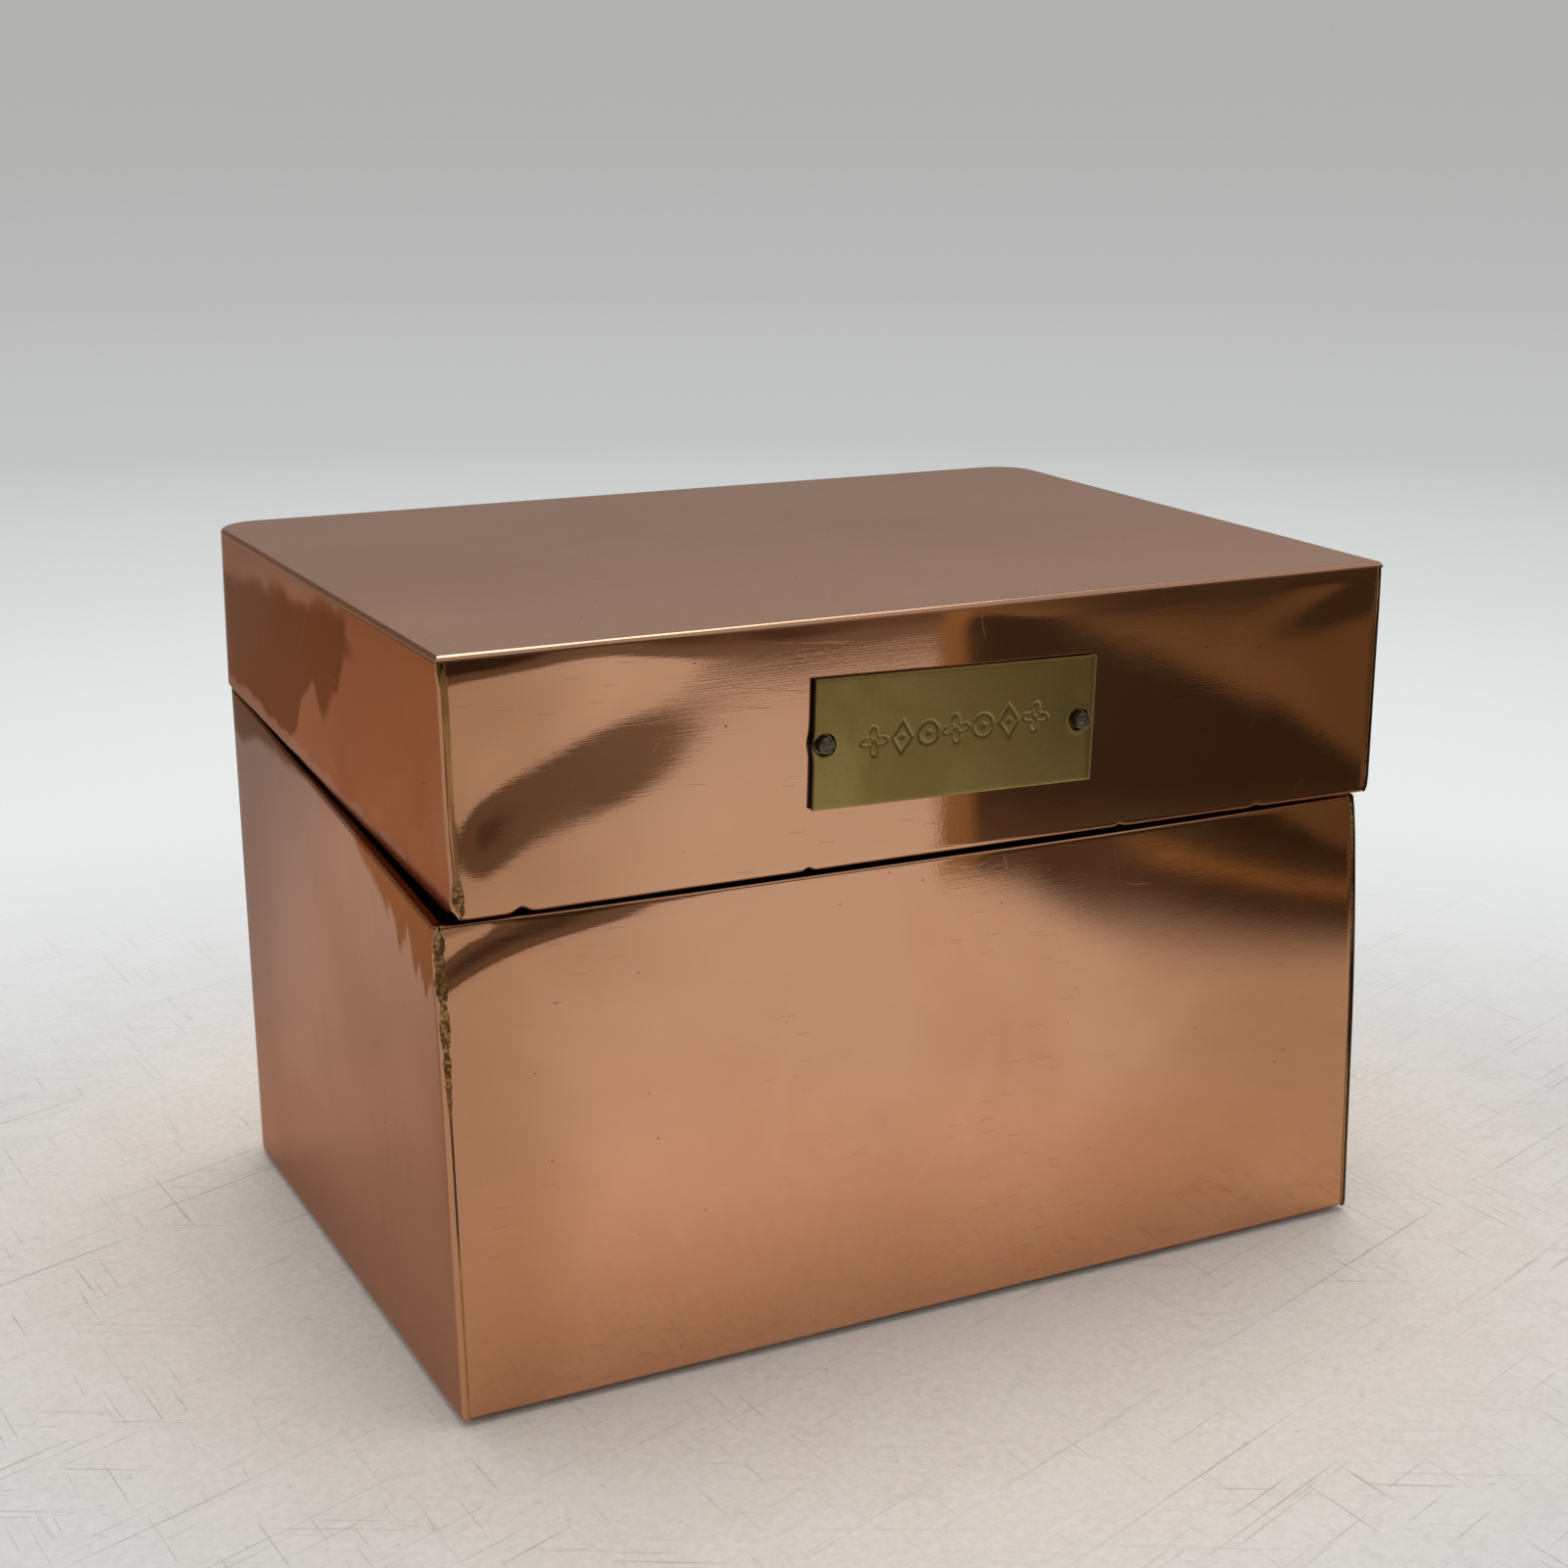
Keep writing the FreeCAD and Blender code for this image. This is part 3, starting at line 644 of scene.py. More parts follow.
def make_plate_pins(material):
    """Cut ends of the pins, hammered a little, with their heads inside the lid."""
    points, faces = [], []
    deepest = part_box("plate_pins")[1].y
    inner, around = FRONT_Y + SHEET, 56
    for which, (pin_u, proud) in enumerate(zip(PIN_PLACES, PIN_PROUD)):
        end = PLATE_FACE - proud
        profile = [(r * PIN_RADIUS, end + HAIR) for r in [0.02] + spread(9, 0.12, PIN_FLAT)]
        profile += [(PIN_RADIUS * (PIN_FLAT + (1 - PIN_FLAT) * math.sin(t)),
                     end + HAIR + 0.2 * MM * (1 - math.cos(t))) for t in spread(6, 0.0, math.pi / 2)[1:]]
        profile += [(PIN_RADIUS, end + depth) for depth in spread(6, 0.35 * MM, inner - end)]
        profile += [(HEAD_RADIUS - HEAD_BEVEL, inner + HAIR), (HEAD_RADIUS, inner + HEAD_BEVEL),
                    (HEAD_RADIUS, inner + HEAD_HEIGHT - HEAD_BEVEL),
                    (HEAD_RADIUS - HEAD_BEVEL, inner + HEAD_HEIGHT), (0.02 * PIN_RADIUS, inner + HEAD_HEIGHT)]
        faces += capped(len(profile), around, len(points))
        for radius, depth in profile:
            for a in range(around):
                angle = 2 * math.pi * a / around
                u, v = radius * math.cos(angle), radius * math.sin(angle)
                at_end = 1 - ease(depth, end + 0.2 * MM, end + 0.5 * MM)
                rough = 0.05 * MM * (1 + wave(u + which, v, 1.0, 0.55 * MM)) * at_end
                slope = 0.05 * at_end * (u + PIN_RADIUS)
                swell = 0.97 + 0.03 * wave(math.cos(angle), math.sin(angle), depth / MM + which, 0.7) * at_end
                x, _, z = plate_place(pin_u + u * swell, 0, v * swell)
                points.append((x, min(depth + rough + slope, deepest), z))
    return link_mesh("plate_pins", points, faces, "lid", material)


# ---- Felt under the foot --------
def make_base_felt(material):
    """Thin felt pad with soft, slightly uneven edges."""
    low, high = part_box("base_felt")
    middle, half = (low + high) / 2, (high - low) / 2
    thick = high.z - low.z
    around, inwards = 240, 14
    points = []

    def outline(angle, shrink):
        """Rounded oblong, drawn in by shrink."""
        round_off = 5.5 * MM
        reach_x, reach_y = half.x - round_off, half.y - round_off
        cx = max(-1.0, min(1.0, 1.45 * math.cos(angle))) * reach_x
        cy = max(-1.0, min(1.0, 1.45 * math.sin(angle))) * reach_y
        out = Vector((math.cos(angle) / half.y, math.sin(angle) / half.x)).normalized() * round_off
        wobble = 0.12 * MM * (1 + wave(cx, cy, 0.4, 6 * MM))
        return cx + out.x * (1 - wobble / round_off) - shrink * cx / half.x, \
            cy + out.y * (1 - wobble / round_off) - shrink * cy / half.y

    top = high.z - HAIR
    rings = [(half.y * t, low.z) for t in spread(inwards, 0.98, 0.02)] + [(0.4 * MM, low.z)]
    rings += [(0.0, low.z + thick * t) for t in (0.3, 0.7)] + [(0.4 * MM, top)]
    rings += [(half.y * t, top) for t in spread(inwards, 0.02, 0.98)]
    for shrink, z in rings:
        for a in range(around):
            x, y = outline(2 * math.pi * a / around, shrink)
            nap = 0.03 * MM * (1 + wave(x, y, z, 2 * MM)) if z > low.z else 0.0
            points.append((middle.x + x, middle.y + y, z - nap))
    return link_mesh("base_felt", points, capped(len(rings), around), "box", material)


# ---- Material nodes --------
class Signal:
    """An output of a node; sums and products of signals add nodes of their own."""

    def __init__(self, nodes, socket):
        self.nodes, self.socket = nodes, socket

    def __add__(self, other):
        return self.nodes.maths("ADD", self, other)

    def __sub__(self, other):
        return self.nodes.maths("SUBTRACT", self, other)

    def __rsub__(self, other):
        return self.nodes.maths("SUBTRACT", other, self)

    def __mul__(self, other):
        return self.nodes.maths("MULTIPLY", self, other)

    def __abs__(self):
        return self.nodes.maths("ABSOLUTE", self)

    def step(self, low, high, to_low=0.0, to_high=1.0):
        """Smooth step between two levels."""
        return self.nodes.add("MapRange", {"Value": self, "From Min": low, "From Max": high,
                                           "To Min": to_low, "To Max": to_high},
                              interpolation_type="SMOOTHSTEP")


class Nodes:
    """The node tree of a material or of the world."""

    def __init__(self, owner):
        owner.use_nodes = True
        self.tree = owner.node_tree
        self.tree.nodes.clear()

    def node(self, kind, inputs=(), **settings):
        """New node with its inputs linked or set."""
        node = self.tree.nodes.new("ShaderNode" + kind)
        for key, value in settings.items():
            setattr(node, key, value)
        for key, value in dict(inputs).items():
            if isinstance(value, Signal):
                self.tree.links.new(value.socket, node.inputs[key])
            else:
                node.inputs[key].default_value = value
        return node

    def add(self, kind, inputs=(), output=0, **settings):
        """One output of a new node."""
        return Signal(self, self.node(kind, inputs, **settings).outputs[output])

    def parts(self, vector):
        return [Signal(self, part) for part in self.node("SeparateXYZ", {0: vector}).outputs]

    def maths(self, operation, first, second=0.0):
        return self.add("Math", {0: first, 1: second}, operation=operation)

    def most(self, first, *others):
        """The greatest of some signals."""
        for other in others:
            first = self.maths("MAXIMUM", first, other)
        return first

    def ramp(self, factor, stops):
        """Colour ramp with the given positions and colours."""
        node = self.node("ValToRGB", {0: factor})
        elements = node.color_ramp.elements
        elements.remove(elements[-1])
        elements[0].position, elements[0].color = stops[0][0], opaque(stops[0][1])
        for position, colour in stops[1:]:
            elements.new(position).color = opaque(colour)
        return Signal(self, node.outputs[0])

    def coated(self, colour, *coats):
        """A colour with coats over it, each given as its cover and its colour."""
        for cover, coat in coats:
            colour = self.add("Mix", {0: cover, 6: colour, 7: coat}, 2, data_type="RGBA")
        return colour


class Finish(Nodes):
    """A material in the making."""

    def __init__(self, name):
        self.material = bpy.data.materials.new(name)
        super().__init__(self.material)
        self.coordinates = self.node("TexCoord")
        self.place = Signal(self, self.coordinates.outputs["Object"])

    def axes(self):
        return self.parts(self.place)

    def facing(self):
        return self.parts(Signal(self, self.coordinates.outputs["Normal"]))

    def noise(self, scale, detail=2.0, roughness=0.5, distortion=0.0, place=None):
        return self.add("TexNoise", {"Vector": place or self.place, "Scale": scale, "Detail": detail,
                                     "Roughness": roughness, "Distortion": distortion}, "Fac")

    def drawn_noise(self, place, scale, *looks):
        """Noise stretched along the axes of a place."""
        return self.noise(1.0, *looks, place=self.stretched(place, scale))

    def stretched(self, place, scale, turn=0.0, shift=(0.0, 0.0, 0.0)):
        """Place with its axes scaled, after a turn in its own plane."""
        turned = self.add("Mapping", {"Vector": place, "Rotation": (0.0, 0.0, turn), "Location": shift})
        return self.add("Mapping", {"Vector": turned, "Scale": scale})

    def scratches(self, place, *sets):
        """Thin hairlines, 1 on a line; each set has a turn, spacing, length, cut and shift."""
        found = []
        for turn, spacing, length, cut, shift in sets:
            spot = self.stretched(place, (1 / length, 1 / spacing, 1.0), turn, (shift, shift, shift))
            found.append(self.noise(1.0, 3.0, 0.6, place=spot).step(cut, cut + 0.05))
        return self.most(*found)

    def relief(self, *layers):
        """Bumps over one another, each given as its height and its reach."""
        below = {}
        for height, distance in layers:
            bumped = self.add("Bump", {"Height": height, "Distance": distance, "Strength": 1.0, **below})
            below = {"Normal": bumped}
        return bumped

    def sheet_place(self, up):
        """Place in the plane of a wall or, where up is 1, of a level sheet."""
        x, y, z = self.axes()
        wall = self.add("CombineXYZ", {0: x - y, 1: z})
        level = self.add("CombineXYZ", {0: x, 1: y})
        return self.add("Mix", {0: up, 4: wall, 5: level}, 1, data_type="VECTOR")

    def between(self, factor, first, second):
        """Mix of two numbers."""
        return self.add("Mix", {0: factor, 2: first, 3: second})

    def over(self, plane):
        """Height above a sloping plane given as a function of x and y."""
        x, y, z = self.axes()
        base = plane(0, 0)
        return z - base - (x * (plane(1, 0) - base) + y * (plane(0, 1) - base))

    def glow(self, colour):
        return self.add("Emission", {"Color": colour, "Strength": 1.0})

    def done(self, surface):
        """Gives the material once its surface is linked."""
        self.node("OutputMaterial", {"Surface": surface})
        return self.material

    def shader(self, **inputs):
        """Gives the material with the one shader."""
        sockets = {key.replace("_", " "): value for key, value in inputs.items()}
        return self.done(self.add("BsdfPrincipled", sockets))


def opaque(colour):
    return (*colour, 1.0)


def scaled(colour, *shares):
    """A colour with its channels multiplied by one share or by one each."""
    return opaque([v * k for v, k in zip(colour, shares * 3 if len(shares) == 1 else shares)])


# ---- Finishes of the copper --------
GRAZE = opaque((0.92, 0.72, 0.62))  # tint of polished copper at grazing angles
SIDE_FACING = (-0.5, -0.8)          # the y of a normal from side wall to front
TICKS = ((95.0, 260.0, 1.0), 0.06, (0.3, 0.2, 0.0))  # scale, turn and shift of the short marks


def worked(f, sheet, base_roughness, colour, graze=GRAZE):
    """Polishing lines, scratches, pits and handling marks over a coloured sheet; gives the material."""
    smudge = f.noise(38.0, 3.0, 0.55)
    brushed = f.drawn_noise(sheet, (45.0, 5200.0, 1.0), 2.0, 0.6)
    grain = f.noise(1900.0, 2.0, 0.6)
    scratch = f.scratches(sheet, (0.12, 0.0009, 0.030, 0.675, 0.0), (-0.9, 0.0013, 0.018, 0.70, 0.3),
                          (1.35, 0.0011, 0.022, 0.70, 0.7))
    pits = f.add("TexVoronoi", {"Vector": f.stretched(sheet, (170.0, 230.0, 1.0)), "Scale": 1.0}, "Distance")
    pit = pits.step(0.046, 0.026) * f.noise(61.0, 1.0).step(0.36, 0.46)
    ticked = f.stretched(sheet, *TICKS)
    ticks = f.add("TexVoronoi", {"Vector": ticked, "Scale": 1.0}, "Position")
    tick = f.parts(f.add("VectorMath", {0: ticked, 1: ticks}, operation="SUBTRACT"))
    dash = abs(tick[0]).step(0.15, 0.10) * abs(tick[1]).step(0.034, 0.014)
    dash *= f.noise(44.0, 1.0).step(0.50, 0.60)
    colour = f.coated(
        colour, (pit * 0.7, (0.10, 0.045, 0.025, 1)), (dash * 0.24, (0.16, 0.08, 0.045, 1)),
        (scratch * 0.06, (0.9, 0.62, 0.46, 1)))
    roughness = base_roughness + smudge.step(0.45, 0.75, 0.0, 0.045) + scratch * 0.05 + pit * 0.1
    relief = f.relief((brushed, 2.8e-6), (grain, 2e-6), (scratch, 2.2e-6), (pit, -2e-6))
    return f.shader(Base_Color=colour, Metallic=1.0, Roughness=roughness, Normal=relief, Specular_Tint=graze)


def polished(f):
    """Colour of the polished front: clouded, with faint redder and yellower areas, and painted shade that
    darkens it towards both ends and the foot.
    """
    copper = colours().copper
    x, _, z = f.axes()
    cloud = f.noise(14.0, 3.0, 0.5, 0.4)
    blotch = f.noise(46.0, 4.0, 0.6, 0.8)
    wander = cloud.step(0.35, 0.65, -0.012, 0.012)
    # Painted shade: darker towards both ends, most of all on the right, and towards the foot.
    ends = f.most((x + wander).step(0.012, 0.078), (x + wander).step(-0.052, -0.086))
    foot = (z + wander).step(0.042, 0.004) * 0.55
    return f.coated(
        opaque(copper),
        (cloud.step(0.35, 0.68), scaled(copper, 0.94, 0.87, 0.82)),
        (blotch.step(0.50, 0.64, 0.0, 0.3), scaled(copper, 1.0, 1.04, 1.08)),
        (f.most(ends, foot) * 0.85, scaled(copper, 0.67, 0.60, 0.51)))


def tarnished_corner(f, walls, colour):
    """Dark tarnish on the cut end of the wrapped sheet at the front right corner."""
    x, y, z = f.axes()
    low, high = walls.levels
    ends = [walls.side_ends(1, level)[0] for level in (low, high)]
    slope = (ends[1] - ends[0]) / (high - low)
    edge = x - z * slope - (ends[0] - slope * low)
    dark = edge.step(-1.7 * MM, -1.2 * MM) * y.step(FRONT_Y + 3.4 * MM, FRONT_Y + 2.2 * MM)
    return f.coated(colour, (dark * 0.94, (0.03, 0.018, 0.011, 1)))


def body_copper():
    """Copper of the body: polished in front, mauve on the other sides, with heat-tinted runs at its rim and
    painted shade under the rim and high towards the back.
    """
    f = Finish("body_copper")
    copper, mauve = colours().copper, colours().mauve_copper
    x, y, _ = f.axes()
    front = f.facing()[1].step(*SIDE_FACING)
    sheet = f.sheet_place(0.0)
    below = f.over(rim_plane("body_wrap", True)) * -1.0
    cloud = f.noise(17.0, 4.0, 0.55, 0.5)
    runs = f.drawn_noise(sheet, (190.0, 26.0, 1.0), 3.0, 0.6, 0.3)
    drawn = f.drawn_noise(sheet, (620.0, 16.0, 1.0), 2.0, 0.5)
    soft = f.noise(48.0, 2.0, 0.5).step(0.3, 0.7, -0.0035, 0.0035)
    # Painted shade: a dark wedge under the rim on the sides, deepest towards the back.
    rim_shade_wedge = f.most(below - y * 0.2 + 0.0022, below - 0.0066)
    corner = (rim_shade_wedge + soft * 0.35).step(0.0012, -0.0012)
    # Painted shade: the sides drawn darker and greyer high up towards the back, under the lid.
    dim = (y - below * 0.9).step(-0.030, 0.030)
    drips = runs.step(0.3, 0.7, -0.012, 0.012) * y.step(-0.034, -0.042) * 0.4
    near = (below + y * 0.32 + 0.0067 + soft * 0.25 + drips).step(0.0014, -0.0010)
    side = f.coated(
        opaque(mauve),
        (cloud.step(0.36, 0.66), scaled(mauve, 0.84, 0.75, 0.68)),
        (drawn.step(0.55, 0.75, 0.0, 0.22), scaled(mauve, 0.6, 0.45, 0.38)),
        (dim * 0.85, scaled(mauve, 0.66, 0.68, 0.78)),
        (near * 0.9, scaled(mauve, 0.74, 0.58, 0.38)),
        (corner * 0.92, scaled(mauve, 0.34, 0.28, 0.25)))
    # Painted shade: the polished front drawn darker just under the rim at its left end.
    from_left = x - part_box("body_wrap")[0].x
    patch = (below + from_left * 0.13 + soft * 0.12).step(0.0024, 0.0014)
    shine = f.coated(polished(f), (patch * 0.75, scaled(copper, 0.34, 0.30, 0.24)))
    colour = tarnished_corner(f, body_walls(), f.coated(side, (front, shine)))
    graze = f.coated(
        GRAZE, (dim, (0.64, 0.555, 0.52, 1)), (corner, (0.53, 0.445, 0.405, 1)),
        (near, (0.72, 0.50, 0.42, 1)))
    return worked(f, sheet, f.between(front, 0.22, 0.05), colour, graze)


def lid_copper():
    """Copper of the lid's walls: polished in front; orange and brown on the other sides, partly the metal's
    own tint and partly painted warm and dark reflections, with a painted highlight along the rim and painted
    shade on the rim's rounding.
    """
    f = Finish("lid_copper")
    c = colours()
    x, y, z = f.axes()
    facing = f.facing()
    front = facing[1].step(*SIDE_FACING)
    sheet = f.sheet_place(0.0)
    above = f.over(rim_plane("lid_wrap", False))
    under_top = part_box("lid_top")[1].z - z
    cloud = f.noise(21.0, 4.0, 0.55, 0.4)
    wander = f.drawn_noise(sheet, (120.0, 34.0, 1.0), 3.0, 0.55, 0.2).step(0.3, 0.7, -0.005, 0.005)
    ragged = f.drawn_noise(sheet, (120.0, 60.0, 1.0), 2.0, 0.5).step(0.3, 0.7, -0.0009, 0.0009)
    soft = f.noise(75.0, 2.0, 0.5).step(0.3, 0.7, -0.0035, 0.0035)
    halo = (y + wander - under_top * 0.7).step(-0.055, -0.018)
    behind = (y + soft).step(-0.0215, -0.0165)
    notch = y.step(-0.0030, 0.0010, 0.0, 0.0085) - y.step(0.0070, 0.0120, 0.0, 0.0045)
    slanting = (z + y * 0.686 + soft * 0.5 - notch).step(0.0946, 0.0966)
    lowered = under_top - (y + 0.019) * 0.085 + soft * 0.3
    # Painted dark reflection: the darkest brown, in runs on the back of the lid's sides, above a slanting
    # line and below the top edge.
    dark_reflection_runs = behind * slanting * lowered.step(0.0004, 0.0036)
    greyed = (y - under_top * 1.1).step(0.002, 0.030) * 0.7
    # Painted highlight: paler pink along the lid's rim and just under the top edge at the back.
    painted_edge_highlight = f.most((above + ragged).step(0.0030, 0.0019),
                  lowered.step(0.0022, -0.0004) * (y + wander).step(-0.020, -0.008))
    side = f.coated(
        opaque(c.red_copper),
        (cloud.step(0.36, 0.64), scaled(c.red_copper, 0.8, 0.72, 0.62)),
        (halo * 0.2, scaled(c.red_copper, 0.62, 0.50, 0.42)),
        (dark_reflection_runs * 0.82, scaled(c.dark_reflection_copper, 0.98, 0.88, 0.72)),
        (greyed, scaled(c.mauve_copper, 0.50, 0.52, 0.50)),
        (painted_edge_highlight * 0.75, scaled(c.mauve_copper, 1.02, 1.06, 1.10)))
    # Painted shade: the rim's downward-facing rounding, and the front rim towards the right, drawn dark.
    rounding = f.most(facing[2].step(-0.04, -0.3),
                      front * above.step(0.0010, 0.0006) * x.step(0.0, 0.045))
    colour = tarnished_corner(f, lid_walls(), f.coated(side, (front, polished(f))))
    colour = f.coated(colour, (rounding * 0.9, scaled(c.copper, 0.24, 0.20, 0.16)))
    graze = f.coated((0.64, 0.485, 0.43, 1), (dark_reflection_runs * 0.9, (0.60, 0.45, 0.395, 1)))
    return worked(f, sheet, f.between(front, 0.2, 0.042), colour, graze)


def top_copper():
    """Satin copper of the lid's top, with faint bands along its length, painted light that is lighter towards
    the front and darker towards the back, and painted shade on its left-facing edge.
    """
    f = Finish("top_copper")
    c = colours()
    y, facing = f.axes()[1], f.facing()
    sheet = f.sheet_place(facing[2].step(0.6, 0.9))
    cloud = f.noise(11.0, 4.0, 0.5, 0.5)
    bands = f.drawn_noise(sheet, (9.0, 95.0, 1.0), 3.0, 0.6)
    edge = facing[2].step(0.97, 0.8)
    colour = f.coated(
        opaque(c.satin_copper),
        (cloud.step(0.36, 0.66), scaled(c.satin_copper, 0.93, 0.9, 0.87)),
        (bands.step(0.5, 0.7, 0.0, 0.35), scaled(c.satin_copper, 1.06, 1.02, 0.97)),
        # Painted light: the top darker towards the back and lighter towards the front.
        (y.step(-0.010, 0.055, 0.0, 0.5), scaled(c.satin_copper, 0.80, 0.80, 0.84)),
        (y.step(0.010, -0.055, 0.0, 0.7), scaled(c.satin_copper, 1.20, 1.18, 1.16)),
        (edge, opaque(c.copper)),
        # Painted shade: the left-facing edge drawn darker.
        (facing[0].step(-0.25, -0.5, 0.0, 0.85), scaled(c.mauve_copper, 0.42, 0.36, 0.33)))
    return worked(f, sheet, f.between(edge, 0.25, 0.14), colour)


# ---- Finishes of the fittings --------
def metal(name, colour, dark_share, roughness, patch=60.0, grain=900.0, depth=0.00001):
    """Plain worked metal with clouded colour, uneven gloss and fine grain."""
    f = Finish(name)
    cloud = f.noise(patch, 4.0, 0.6, 0.3).step(0.36, 0.66)
    fine = f.noise(grain, 3.0, 0.6)
    shade = f.coated(opaque(colour), (cloud, scaled(colour, dark_share)))
    gloss = cloud.step(0, 1, roughness, roughness + 0.14) + fine * 0.08
    return f.shader(Base_Color=shade, Metallic=1.0, Roughness=gloss, Normal=f.relief((fine, depth)))


def solder_skin():
    """Filed solder, smooth and golden, but rough and burnt on either side of the seam."""
    f = Finish("solder")
    solder = colours().solder
    _, y, z = f.axes()
    patch = f.noise(110.0, 3.0, 0.55)
    fine = f.noise(900.0, 3.0, 0.6)
    crumbs = f.noise(1300.0, 2.0, 0.5)
    burnt = z.step(0.0865, 0.0825) * z.step(0.042, 0.060) * crumbs.step(0.40, 0.60)
    outside = y.step(FRONT_Y + 0.8 * MM, FRONT_Y + 0.5 * MM)
    line = outside * z.step(0.054, 0.046) * z.step(0.025, 0.034)
    colour = f.coated(
        opaque(solder),
        (patch.step(0.35, 0.65), scaled(solder, 0.72, 0.66, 0.58)),
        (burnt * 0.85, (0.11, 0.055, 0.025, 1)),
        (line * 0.9, (0.035, 0.022, 0.014, 1)))
    roughness = patch.step(0.3, 0.7, 0.26, 0.34) + burnt * 0.3
    return f.shader(Base_Color=colour, Metallic=1.0, Roughness=roughness,
                    Normal=f.relief((fine, 0.00003), (burnt, -0.00012)))


def plate_brass():
    """Olive brass, brushed along its length, dirty in its marks, and near black on its cut edges: partly dark
    cut metal, partly painted shade.
    """
    f = Finish("plate_brass")
    brass = colours().brass
    facing = f.facing()
    sheet = f.sheet_place(0.0)
    cloud = f.noise(70.0, 4.0, 0.6, 0.4)
    speckle = f.noise(1500.0, 2.0, 0.7)
    brushed = f.drawn_noise(sheet, (60.0, 7000.0, 1.0), 2.0, 0.6)
    scratch = f.scratches(sheet, (0.25, 0.0006, 0.014, 0.7, 0.0))
    sunk = f.axes()[1].step(PLATE_FACE + 0.02 * MM, PLATE_FACE + 0.10 * MM)
    # Painted shade, partly dark cut metal: the edges that face neither front nor up.
    edge_shade = facing[1].step(-0.45, -0.15) * facing[2].step(0.5, 0.2)
    colour = f.coated(
        opaque(brass),
        (cloud.step(0.35, 0.7), scaled(brass, 0.84, 0.80, 0.70)),
        (speckle.step(0.45, 0.75, 0.0, 0.35), scaled(brass, 0.72, 0.68, 0.55)),
        (sunk * 0.45, scaled(brass, 0.35, 0.32, 0.25)),
        (edge_shade * 0.93, (0.02, 0.014, 0.01, 1)))
    roughness = cloud.step(0.3, 0.7, 0.28, 0.36) + scratch * 0.06
    return f.shader(Base_Color=colour, Metallic=1.0, Roughness=roughness,
                    Normal=f.relief((brushed, 5e-6), (scratch, 5e-6), (speckle, 6e-6)))


def felt_cloth():
    """Pressed wool felt."""
    f = Finish("felt")
    felt = colours().felt
    fibre = f.noise(2600.0, 4.0, 0.7, 0.8)
    lump = f.noise(240.0, 3.0, 0.6)
    colour = f.coated(opaque(felt), (fibre.step(0.3, 0.7), scaled(felt, 1.9)))
    return f.shader(Base_Color=colour, Roughness=0.95, Normal=f.relief((lump, 0.0005), (fibre, 0.0003)),
                    Sheen_Weight=0.4, Sheen_Roughness=0.5)


# ---- Stage --------
ROOM_WALL = ((-0.70, -0.468), (0.30, -0.468))
ROOM_HEIGHT = 0.22
CUPBOARD = ((0.113, -0.255), (0.335, -0.205))
CUPBOARD_HEIGHT = 0.16
SHADE_REACH = 0.085
SHADE_RISE = 0.0004
FLOOR_RADII = (0.05, 0.1, 0.15, 0.2, 0.3, 0.4, 0.55, 0.8, 1.2, 2.0, 3.5, 6.0)
FLOOR_SPOKES = 96
# Painted light: how brightly the far floor glows at each distance, fading into the backdrop.
FAR_FLOOR = ((0.30, (0.81, 0.83, 0.825)), (0.38, (0.79, 0.815, 0.81)), (0.55, (0.69, 0.72, 0.715)),
             (0.92, (0.55, 0.56, 0.557)), (1.8, (0.49, 0.495, 0.49)), (4.5, (0.452, 0.454, 0.447)))
BACKDROP = ((-0.06, (0.452, 0.454, 0.447)), (0.03, (0.433, 0.435, 0.426)), (0.2, (0.37, 0.375, 0.375)),
            (1.0, (0.42, 0.43, 0.44)))
WORLD_LIGHT = 0.60


def floor_finish():
    """Pale worn table top, painted with warm light close round the box; further out it glows with painted
    light that fades with distance and melts into the backdrop.
    """
    f = Finish("pale_floor")
    x, y, _ = f.axes()
    distance = f.add("VectorMath", {0: f.place}, "Value", operation="LENGTH")
    scratch = f.scratches(f.add("CombineXYZ", {0: x, 1: y}), (0.5, 0.0006, 0.040, 0.645, 0.0),
                          (-0.35, 0.0007, 0.055, 0.64, 0.4), (1.5, 0.0006, 0.030, 0.645, 0.9))
    mottle = f.noise(620.0, 5.0, 0.75).step(0.38, 0.62)
    worn = f.noise(75.0, 3.0, 0.65).step(0.38, 0.62)
    patchy = f.noise(16.0, 2.0, 0.5).step(0.36, 0.58)
    speck = f.noise(520.0, 2.0).step(0.685, 0.73)
    cloud = f.noise(9.0, 4.0, 0.6)
    marks = f.most(scratch * patchy * 0.9, speck * 0.4) * 0.55
    colour = f.coated(
        (0.81, 0.80, 0.78, 1),
        (cloud.step(0.3, 0.7), (0.77, 0.745, 0.71, 1)),
        # Painted light: the floor paler and warmer close round the box, for light thrown off the copper.
        (distance.step(0.17, 0.10) * 0.9, (0.975, 0.868, 0.755, 1)),
        (mottle * 0.26, (0.60, 0.57, 0.53, 1)),
        (worn * 0.12, (0.97, 0.96, 0.94, 1)),
        (marks, (0.38, 0.33, 0.27, 1)))
    near = f.add("BsdfPrincipled", {"Base Color": colour, "Roughness": 0.55,
                                    "Normal": f.relief((scratch, 0.00004))})
    # The far floor glows instead of being lit: painted light.
    span = FAR_FLOOR[-1][0]
    stops = [(reach / span, shade) for reach, shade in FAR_FLOOR]
    far = f.glow(f.ramp(f.maths("DIVIDE", distance, span), stops))
    away = f.add("VectorMath", {0: f.place, 1: (-0.12, -0.26, 0.0)}, "Value", operation="DISTANCE")
    return f.done(f.add("MixShader", {0: away.step(0.32, 0.54), 1: near, 2: far}))


